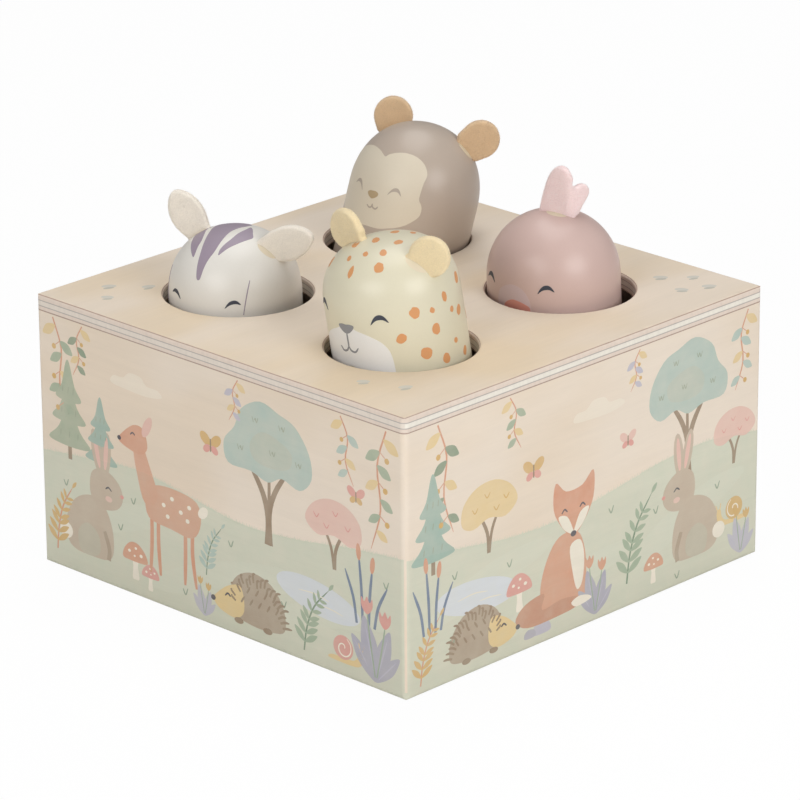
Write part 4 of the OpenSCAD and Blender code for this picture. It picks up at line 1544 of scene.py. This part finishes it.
# Walls: heights of the ground's upper edge, paler sweeps over it (x and y of both ends, width),
# motifs (which, x and y of the foot, size, side, details) and places of the small ticks
PICTURES = {
    "front": (
        [37, 39.5, 41.5, 39, 36.5, 38, 41.5, 44],
        [(-70, 12, -20, 30, 9), (-30, 6, 40, 26, 10), (20, 10, 72, 22, 8)],
        [
            (cloud, -34, 67, 1.2), (branch, -70, EAVES, 1.45, 1, dict(drop=22)),
            (branch, -57, EAVES, 1.1, -1, dict(leafy="moss", drop=15, rows=5)),
            (branch, 10, EAVES, 0.95, -1, dict(leafy="mist", drop=14, rows=5)),
            (branch, 52, EAVES, 1.2, 1, dict(leafy="teal", drop=17, rows=5)),
            (branch, 72, EAVES, 1.5, -1, dict(leafy="sage", rows=7, drop=25)), (fir, -64, 37, 1.5),
            (fir, -50, 36, 1.15, 1, dict(tone="pine")), (tree, 22, 33, 1.45, 1),
            (bush, 49, 33, 1.55, -1), (pond, 42, 22, 1.15), (fawn, -20, 10, 2.05, -1),
            (reeds, 62, 19, 1.75), (rabbit, -54, 8, 1.9), (mushroom, -36, 6, 1.5),
            (mushroom, -29.5, 4, 1.05, -1, dict(tone="rose")), (fern, -73, 6, 1.5, 1, dict(lean=5)),
            (fern, -5, 16, 1.15, 1, dict(tone="teal", rib="moss", lean=6)),
            (hedgehog, 14, 5.5, 1.9, -1),
            (fern, 36, 4, 1.5, 1, dict(tone="sage", rib="moss", lean=7)), (snail, 53, 5, 1.35, 1),
            (tulips, 68, 2.6, 1.45, 1), (tulips, -6, 2.6, 0.7, 1, dict(tone="ochre", leaf="mist")),
            (butterfly, -2, 58, 1.5),
            (butterfly, 58, 58, 1.2, -1, dict(tone="rose", second="ochre")),
        ],
        [(-36, 30), (-66, 28), (6, 28), (-42, 20), (28, 15), (-14, 7), (70, 33)],
    ),
    "right": (
        [43.5, 41, 38, 37.5, 40, 43, 43.5, 40.5],
        [(-70, 20, -16, 32, 9), (-40, 7, 20, 21, 9), (16, 12, 70, 30, 10)],
        [
            (cloud, 4, 66, 1.2), (branch, -64, EAVES, 1.5, 1, dict(leafy="moss", drop=23)),
            (branch, -34, EAVES, 1.1, 1, dict(leafy="sage", drop=15, rows=5)),
            (branch, 22, EAVES, 0.95, -1, dict(leafy="mist", drop=13, rows=5)),
            (branch, 72, EAVES, 1.3, -1, dict(leafy="teal", drop=19)),
            (fir, -70, 36, 1.45, 1, dict(tone="pine", deep="moss")),
            (bush, -43, 36, 1.6, 1, dict(tone="straw", deep="ochre")), (tree, 44, 36, 1.4, -1),
            (bush, 68, 33, 1.3, 1), (pond, -48, 24, 1.15), (reeds, -66, 18, 1.7),
            (fox, -10, 9, 2.05), (mushroom, -30, 14, 1.5, 1, dict(tone="rose")),
            (fern, 17, 8, 1.8, 1, dict(tone="sage", rib="moss", lean=6)),
            (fern, -74, 3, 1.35, 1, dict(tone="ochre", rib="clay", lean=6)),
            (rabbit, 46, 8, 1.9, -1), (hedgehog, -46, 5, 1.8, 1),
            (tulips, 3, 2.6, 1.1, 1, dict(tone="clay", leaf="haze")),
            (snail, 65, 14, 1.3, -1, dict(shell="ochre")), (stones, -22, 4, 1.6, -1),
            (mushroom, 29, 5, 1.2, -1), (tulips, 71, 2.6, 0.9, 1, dict(tone="ochre", leaf="mist")),
            (butterfly, -24, 56, 1.5),
            (butterfly, 17, 54, 1.2, -1, dict(tone="blush", second="rose")),
        ],
        [(-57, 32), (-34, 29), (30, 27), (58, 27), (-58, 12), (40, 3), (10, 33)],
    ),
    "back": (
        [40.5, 43, 41, 37, 36, 39.5, 42, 43],
        [(-70, 10, -10, 30, 10), (-20, 8, 50, 24, 9)],
        [
            (cloud, 6, 68, 1.2, -1), (branch, -68, EAVES, 1.4, 1, dict(leafy="sage", drop=21)),
            (branch, -10, EAVES, 1, 1, dict(leafy="mist", drop=13, rows=5)),
            (branch, 70, EAVES, 1.4, -1, dict(leafy="moss", drop=22)),
            (tree, -42, 36, 1.4, 1, dict(crown="blush", deep="rose")), (fir, 34, 36, 1.5),
            (fir, 48, 37, 1.15, 1, dict(tone="pine")),
            (bush, 66, 37, 1.4, 1, dict(tone="straw", deep="ochre")), (fawn, 8, 10, 2, 1),
            (pond, -46, 22, 1.1), (reeds, -27, 18, 1.6), (hedgehog, 50, 6, 1.8, -1),
            (rabbit, -62, 5, 1.8, 1), (fern, 28, 6, 1.5, 1, dict(lean=6)),
            (tulips, -12, 2.8, 1.3, 1), (mushroom, -36, 5, 1.5),
            (mushroom, 70, 18, 1.2, -1, dict(tone="rose")),
        ],
        [(-62, 30), (-16, 28), (30, 30), (52, 26), (-24, 8), (18, 5)],
    ),
    "left": (
        [43, 41, 38.5, 40.5, 43.5, 41, 38, 37],
        [(-70, 18, -8, 34, 9), (-10, 7, 60, 24, 10)],
        [
            (cloud, 6, 67, 1.2), (branch, -36, EAVES, 1.2, 1, dict(leafy="moss", drop=17)),
            (branch, 14, EAVES, 0.95, 1, dict(leafy="mist", drop=13, rows=5)),
            (branch, 68, EAVES, 1.45, -1, dict(leafy="sage", drop=23)),
            (fir, -62, 37, 1.5, 1, dict(tone="pine")), (fir, -49, 36, 1.15, 1),
            (tree, 34, 37, 1.4, 1), (bush, 60, 34, 1.4), (fox, -20, 9, 2, -1), (pond, 26, 22, 1.1),
            (reeds, 44, 18, 1.6), (rabbit, 60, 6, 1.8, -1), (snail, 34, 5, 1.35),
            (tulips, -66, 2.8, 1.4), (fern, -48, 6, 1.5, 1, dict(tone="ochre", rib="clay", lean=6)),
            (mushroom, 14, 5, 1.5), (mushroom, 2, 18, 1.1, -1, dict(tone="rose")),
        ],
        [(-40, 28), (-2, 30), (58, 28), (-60, 22), (24, 7), (-36, 5)],
    ),
}


def blade_recipe():
    """Short blades of grass along a line, at uneven slants."""
    r = Recipe("grass_edge", {"Step": "Float", "Blade": "Object"})
    curve = r.node("GeometryNodeMeshToCurve", None, {0: r.input("Geometry")}).outputs[0]
    spread = r.node(
        "GeometryNodeCurveToPoints", {"mode": "LENGTH"}, {"Curve": curve, "Length": r.input("Step")}
    )
    info = r.node("GeometryNodeObjectInfo", None, {"Object": r.input("Blade")})
    slant = r.chance((0, -0.55, 0), (0, 0.55, 0), 11)
    size = r.chance(0.5, 1.3, 4)
    r.copies(spread.outputs["Points"], info.outputs["Geometry"], slant, size)
    return r


# ---------------------------------------------------------------- operators


class ToyStage(bpy.types.Operator):
    """Floor, lamps, sky and camera"""

    bl_idname = "popup_toy.stage"
    bl_label = "Stage"

    def execute(self, context):
        scene = context.scene
        scene.view_settings.view_transform = "Standard"
        self.camera(scene)
        self.floor()
        self.sky(scene)
        self.lamps()
        return {"FINISHED"}

    def camera(self, scene):
        width = 2 * HALF * MM
        back = Vector((
            math.sin(AZIMUTH) * math.cos(ELEVATION),
            -math.cos(AZIMUTH) * math.cos(ELEVATION),
            math.sin(ELEVATION),
        ))
        right = Vector((math.cos(AZIMUTH), math.sin(AZIMUTH), 0))
        up = back.cross(right)
        c, s = math.cos(ROLL), math.sin(ROLL)
        right, up = c * right + s * up, -s * right + c * up
        place = Vector((0, 0, 0.5 * BOX_RISE * width)) + back * (AWAY * width)
        place += right * (SHIFT_X * width) + up * (SHIFT_Y * width)
        data = bpy.data.cameras.new("camera")
        data.sensor_width = SENSOR
        data.lens = FOCAL / PICTURE * SENSOR
        data.clip_end = 30
        camera = show("camera", data)
        camera.matrix_world = Matrix((
            (right.x, up.x, back.x, place.x),
            (right.y, up.y, back.y, place.y),
            (right.z, up.z, back.z, place.z),
            (0, 0, 0, 1),
        ))
        scene.camera = camera

    def floor(self):
        mesh = bpy.data.meshes.new("floor")
        reach = 6.0
        corners = [(x * reach, y * reach, 0) for x, y in ((-1, -1), (1, -1), (1, 1), (-1, 1))]
        mesh.from_pydata(corners, [], [(0, 1, 2, 3)])
        material = bpy.data.materials.new("pale_floor")
        material.use_nodes = True
        nodes = Nodes(material.node_tree)
        material.node_tree.nodes.clear()
        pale = (0.93, 0.93, 0.93, 1)
        diffuse = nodes.node("ShaderNodeBsdfDiffuse", None, {"Color": pale})
        white = nodes.node("ShaderNodeEmission", None, {"Strength": 1.0})
        seen = Value(nodes, nodes.node("ShaderNodeLightPath").outputs["Is Camera Ray"])
        both = nodes.node(
            "ShaderNodeMixShader",
            None,
            {0: seen * WHITE_SHARE, 1: diffuse.outputs[0], 2: white.outputs[0]},
        )
        nodes.node("ShaderNodeOutputMaterial", None, {0: both.outputs[0]})
        mesh.materials.append(material)
        floor = show("floor", mesh)

    def sky(self, scene):
        world = bpy.data.worlds.new("studio")
        world.use_nodes = True
        nodes = Nodes(world.node_tree)
        world.node_tree.nodes.clear()
        seen = Value(nodes, nodes.node("ShaderNodeLightPath").outputs["Is Camera Ray"])
        strength = SKY_SHARE + seen * (1 - SKY_SHARE)
        sky = nodes.node("ShaderNodeBackground", None, {"Strength": strength})
        nodes.node("ShaderNodeOutputWorld", None, {0: sky.outputs[0]})
        scene.world = world

    def lamps(self):
        camera_side = math.degrees(AZIMUTH) - 90
        for name, (turn, rise, away, wide, high, power) in SOFTBOXES.items():
            a, e = math.radians(camera_side + turn), math.radians(rise)
            place = Vector((math.cos(a) * math.cos(e), math.sin(a) * math.cos(e), math.sin(e)))
            data = bpy.data.lights.new(name, "AREA")
            data.shape = "ELLIPSE"
            data.size = wide
            data.size_y = high
            data.energy = power
            lamp = show(name, data)
            lamp.location = place * away + Vector((0, 0, LAMPS_RISE))
            lamp.rotation_euler = place.to_track_quat("Z", "Y").to_euler()


class ToyBox(bpy.types.Operator):
    """Top, base, posts and bosses of the box"""

    bl_idname = "popup_toy.box"
    bl_label = "Box"

    def execute(self, context):
        wood = settings().wood
        warm, post = tuple(wood.warm), tuple(wood.post)
        dress("top_panel", ply_finish("top_ply", 1))
        dress("base_panel", wood_finish("base_ply", 0, warm, times(warm, 0.9)))
        posts = wood_finish("post_wood", 2, post, times(post, 0.86), rough=0.62)
        for node in ("front_left", "front_right", "back_left", "back_right"):
            dress(node + "_post", posts)
        for animal in PEGS:
            dress(animal + "_boss", posts)
        return {"FINISHED"}


class ToyPrints(bpy.types.Operator):
    """Printed meadow on the four walls, and the small marks on the top"""

    bl_idname = "popup_toy.prints"
    bl_label = "Prints"

    def execute(self, context):
        wood = settings().wood
        colours = tuple(wood.veneer), tuple(wood.warm)
        recipe = blade_recipe()
        for quarter, (wall, facts) in enumerate(PICTURES.items()):
            printed = Print(quarter)
            edge = printed.picture(*facts)
            along, ground = quarter % 2, (quarter, edge)
            bare = wood_finish(wall + "_wall_ply", along, *colours, ground=ground)
            dress(wall + "_panel", bare)
            name = wall + "_printed_ply"
            finish = wood_finish(name, along, *colours, inked=True, ground=ground)
            own(printed.shape.object(wall + "_print", finish), "root", "printed_ply")
            own(self.grass(wall, edge, quarter, finish, recipe), "root", "printed_ply")
        top = wood_finish("printed_lid", 1, *colours, inked=True)
        own(self.marks().object("top_marks", top), "root", "lid_ply")
        return {"FINISHED"}

    def grass(self, wall, edge, quarter, finish, recipe):
        """Blades of grass along the ground's upper edge."""
        blade = Shape()
        outline = [Vector(p) for p in ((-0.2, -0.5), (0.2, -0.5), (0.05, 0.95))]
        ink = (*INKS["meadow"], 0.9)
        slab(blade, outline, [(0, -0.05), (0, 0)], lambda u, v, w: Vector((u, -w, v)), ink)
        proto = blade.object("grass_blade", finish)
        reach = [(p.x, -HALF - 0.014, p.y) for p in edge if abs(p.x) < HALF - MARGIN]
        line = line_mesh(wall + "_edge", reach)
        made = recipe.make(wall + "_grass", line, Step=0.5 * MM, Blade=proto, Finish=finish)
        bpy.data.objects.remove(proto)
        made.data.transform(Matrix.Rotation(quarter * math.pi / 2, 4, "Z"))
        return made

    def marks(self):
        """Small grey-green leaf marks near the corners of the top, two leaves each."""
        shape = Shape()
        # x, y and turn of each mark
        rows = [
            (-66, -58, 52), (-59, -65, 36), (-57, -50, 60), (50, 62, 40), (57, 69, 55),
            (62, 58, 30), (66, 66, 48), (48, -64, 38), (60, -59, 56), (-64, 60, 70),
            (-57, 67, 40), (-66, 69, 52),
        ]
        # shift, half length and width, turn, ink, cover and height of the print
        leaves = [
            (0, 0, 2.3, 1.4, 0, "mark", 0.6, 0.012),
            (1.2, -1.2, 1.8, 0.75, 16, "fleck", 0.55, 0.02),
        ]
        for k, (x, y, turn) in enumerate(rows):
            size = (1, 0.86, 0.93)[k % 3]
            for dx, dy, long, wide, more, tone, cover, lift in leaves:
                outline = ellipse(x + dx, y + dy, long * size, wide * size, turn + more, 18)
                slab(shape, outline, [(0, -0.1), (0, lift)],
                     lambda u, v, w: Vector((u, v, BOX_H + w)), (*INKS[tone], cover))
        return shape


class ToyHeads(bpy.types.Operator):
    """Turned and painted heads with their faces"""

    bl_idname = "popup_toy.heads"
    bl_label = "Heads"

    def execute(self, context):
        paint = settings().paint
        faces = {
            "monkey": monkey_face, "leopard": leopard_face, "zebra": zebra_face, "bird": bird_face,
        }
        line = paint_finish("face_paint", (0.5, 0.5, 0.5), attribute=True, rough=0.45)
        for animal in PEGS:
            finish = paint_finish(animal + "_paint", tuple(getattr(paint, animal)))
            body = turned_head(animal).object(animal + "_painted_head", finish, 40)
            own(body, animal, animal + "_paint", animal + "_head")
            head = Head(animal)
            faces[animal](head, paint)
            own(head.face.object(animal + "_face", line, 45), animal, animal + "_paint")
        return {"FINISHED"}


class ToyEars(bpy.types.Operator):
    """Felt ears and crest, their loose fibres and the plugs that wedge them"""

    bl_idname = "popup_toy.ears"
    bl_label = "Ears"

    def execute(self, context):
        felt = settings().felt
        recipe = fibre_recipe()
        finishes = {
            animal: felt_finish(animal + "_felt", tuple(getattr(felt, animal))) for animal in PEGS
        }
        plug_wood = wood_finish("plug_wood", 2, rgb(226, 214, 190), rgb(218, 203, 174))
        for seed, (name, (animal, *_)) in enumerate(EARS.items()):
            crest = name == "bird_crest"
            shape, outline = felt_crest(name) if crest else felt_ear(name)
            ear = shape.object(name + "_felt", finishes[animal], 60)
            slot = "crest_felt" if crest else animal + "_felt"
            own(ear, animal, slot, name)
            fuzz = recipe.make(
                name + "_fuzz", ear.data.copy(), Density=felt.density, Length=felt.fibre,
                Radius=felt.fibre_r, Seed=seed, Finish=finishes[animal],
            )
            own(fuzz, animal, slot)
            self.fold(name, animal, ear, fuzz)
            xs, ys = [p.x for p in outline], [p.y for p in outline]
            width, height = max(xs) - min(xs), max(ys) - min(ys)
            abs(signed_area(outline)) * MM * MM
            plug = self.plug(name, plug_wood)
            own(plug, animal, "plug_wood", name.replace("_ear", "") + "_plug")
        return {"FINISHED"}

    def fold(self, name, animal, *soft):
        """Felt would be pressed flat toward its root as the head goes into its hole; each soft
        piece only gets a mesh of its own, and the way and anchor of the press are worked out but
        not used.
        """
        root = ear_frame(name) @ Vector((0, FELT_MIDDLE, 0))
        peg = peg_frame(animal)
        out = (peg.inverted() @ root).xy
        # the crest stands near the axis and goes straight down
        if out.length < 4:
            way, keep = Vector((0, 0, 1)), 0.2
        else:
            way, keep = out.normalized().to_3d(), 0.3
        axis, anchor = tuple(peg.to_3x3() @ way), tuple(root * MM)
        for piece in soft:
            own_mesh(piece)
            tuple(axis)
            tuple(anchor)

    def plug(self, name, finish):
        """The plug's visible end: a D of bare wood beside the felt, flush with the head."""
        head = Head(EARS[name][0])
        socket, inverse = ear_frame(name), head.frame.inverted()
        ray = inverse.to_3x3() @ (socket.to_3x3() @ Vector((0, 0, 1)))
        points = []
        for t in np.linspace(0.15, math.pi - 0.15, 28):
            foot = Vector((3.4 * math.cos(t), 0.2 - 2.5 * math.sin(t), 0))
            points.append(self.drop(head, inverse @ (socket @ foot), ray))
        shape = Shape()
        slab(shape, evenly(points, 0.5), [(0, -3), (0, 0.06)], head.at, spacing=0.9)
        return shape.object(name.replace("_ear", "") + "_wood_plug", finish, 40)

    def drop(self, head, foot, ray):
        """Point of the unrolled plane where a line along a socket meets the head."""
        peg = PEGS[head.name]

        def over(t):
            p = foot + ray * t
            return p.z - dome_height(peg, min(math.hypot(p.x, p.y), PEG_R))

        low, high = -9.0, 9.0
        for _ in range(40):
            middle = (low + high) / 2
            if over(middle) > 0:
                high = middle
            else:
                low = middle
        p = foot + ray * low
        return at_angle(float(np.interp(-p.z, -head.z, head.arc)), math.atan2(p.y, p.x))


class ToyCoils(bpy.types.Operator):
    """Coil springs under the pegs"""

    bl_idname = "popup_toy.springs"
    bl_label = "Springs"

    def execute(self, context):
        sizes = settings().springs
        recipe = coil_recipe()
        finish = steel_finish("spring_steel", rgb(196, 198, 202), 0.28)
        for animal, peg in PEGS.items():
            rows = self.line(animal, sizes.turns)
            made = recipe.make(
                animal + "_coil_spring", line_mesh(animal + "_line", rows), Turns=sizes.turns,
                **{"Coil radius": sizes.coil_r, "Wire radius": sizes.wire_r}, Finish=finish,
            )
            own(made, "root", "steel", animal + "_spring")
            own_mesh(made)
        return {"FINISHED"}

    def line(self, animal, turns):
        """The spring's middle line: round from its upright boss to the peg's axis, then on it."""
        # climb of a closed turn, share of the height over the bend, pull of the curve's handles
        closed, bend, pull = 2.35, 0.52, 0.42
        peg = PEGS[animal]
        low = Vector((*peg["hole"], BASE_T + 0.85))
        frame_mm = peg_frame(animal)
        axis = frame_mm.to_3x3() @ Vector((0, 0, 1))
        high = frame_mm @ Vector((0, 0, BORE_DEPTH - PEG_HANG - 1.25))
        joint = high - axis * (bend * (high - low).dot(axis))
        reach = (joint - low).length
        a, b = low + Vector((0, 0, pull * reach)), joint - axis * (pull * reach)
        path = [
            (1 - t) ** 3 * low + 3 * (1 - t) ** 2 * t * a + 3 * (1 - t) * t * t * b + t**3 * joint
            for t in np.linspace(0, 1, 40).tolist()
        ] + [high]
        far = np.concatenate([[0], np.cumsum([(q - p).length for p, q in zip(path, path[1:])])])
        reach = far[-1]
        count = turns * 28
        # the first and the last turn are closed
        ease = np.interp(
            np.arange(count + 1) / count, [0, 1 / turns, 1 - 1 / turns, 1],
            [0, closed, reach - closed, reach],
        )
        return [
            Vector([np.interp(t, far, [p[i] for p in path]) for i in range(3)]) for t in ease
        ]


class ToyScrews(bpy.types.Operator):
    """Countersunk screws under the base"""

    bl_idname = "popup_toy.screws"
    bl_label = "Screws"

    def execute(self, context):
        finish = steel_finish("screw_steel", rgb(186, 184, 178), 0.34)
        low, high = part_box("front_left_post")
        post = abs(low.x + high.x) / 2 / MM
        places = [(x * post, y * post) for x in (-1, 1) for y in (-1, 1)]
        places += [peg["hole"] for peg in PEGS.values()]
        mesh = bpy.data.meshes.new("screw_places")
        mesh.from_pydata([(x * MM, y * MM, 0.3 * MM) for x, y in places], [], [])
        proto = self.screw().object("one_screw", finish, 30)
        made = screw_recipe().make("wood_screws", mesh, Screw=proto, Finish=finish)
        bpy.data.objects.remove(proto)
        own(made, "root", "steel", "base_screws")
        return {"FINISHED"}

    def screw(self):
        """One screw, its face down at height 0: a cross recess, a cone and a threaded shank."""
        arm, wide, deep = 1.7, 0.42, 1.1
        head_r, crest_r, root_r, tip_r = 3.0, 1.4, 1.05, 0.25
        shank, thread_end, tip, pitch = 1.6, 12.2, 13.0, 0.35
        cross = [(wide, wide), (wide, arm), (-wide, arm), (-wide, wide), (-arm, wide),
                 (-arm, -wide), (-wide, -wide), (-wide, -arm), (wide, -arm), (wide, -wide),
                 (arm, -wide), (arm, wide)]
        inner = []
        for p, q in zip(cross, cross[1:] + cross[:1]):
            inner += [Vector(p).lerp(Vector(q), t) for t in (0, 0.25, 0.5, 0.75)]
        inner.sort(key=lambda p: math.atan2(p.y, p.x))
        angles = [math.atan2(p.y, p.x) for p in inner]
        points = [Vector((p.x * 0.75, p.y * 0.75, deep)) for p in inner]
        points += [Vector((p.x, p.y, 0)) for p in inner]
        rings = [(head_r * 0.97, 0), (head_r, 0.12), (crest_r, shank)]
        z, turn = shank, 0
        while z < thread_end:
            z += pitch
            rings.append((crest_r if turn % 2 else root_r, z))
            turn += 1
        rings.append((tip_r, tip))
        for r, z in rings:
            points += [Vector((r * math.cos(a), r * math.sin(a), z)) for a in angles]
        m = len(inner)
        faces = sides(len(points) // m, m)
        faces.append(tuple(reversed(range(m))))
        faces.append(tuple(range(len(points) - m, len(points))))
        shape = Shape()
        shape.add(points, faces)
        return shape


class ToyPanel(bpy.types.Panel):
    """Lists the operators in the order in which they are used"""

    bl_idname = "VIEW3D_PT_popup_toy"
    bl_label = "Pop-up Toy"
    bl_space_type = "VIEW_3D"
    bl_region_type = "UI"
    bl_category = "Pop-up Toy"

    def draw(self, context):
        for operator in OPERATORS:
            self.layout.operator(operator.bl_idname)
        for group in ("wood", "paint", "felt", "springs"):
            column = self.layout.column()
            values = getattr(context.scene.popup_toy, group)
            for name in values.__annotations__:
                column.prop(values, name)


OPERATORS = (ToyStage, ToyBox, ToyPrints, ToyHeads, ToyEars, ToyCoils, ToyScrews)
CLASSES = (ToyWood, ToyPaint, ToyFelt, ToySprings, ToySettings, *OPERATORS, ToyPanel)


def register():
    for kind in CLASSES:
        bpy.utils.register_class(kind)
    bpy.types.Scene.popup_toy = bpy.props.PointerProperty(type=ToySettings)


def unregister():
    del bpy.types.Scene.popup_toy
    for kind in reversed(CLASSES):
        bpy.utils.unregister_class(kind)


def main():
    register()
    bpy.ops.popup_toy.stage()
    bpy.ops.popup_toy.box()
    bpy.ops.popup_toy.prints()
    bpy.ops.popup_toy.heads()
    bpy.ops.popup_toy.ears()
    bpy.ops.popup_toy.springs()
    bpy.ops.popup_toy.screws()


if __name__ == "__main__":
    main()
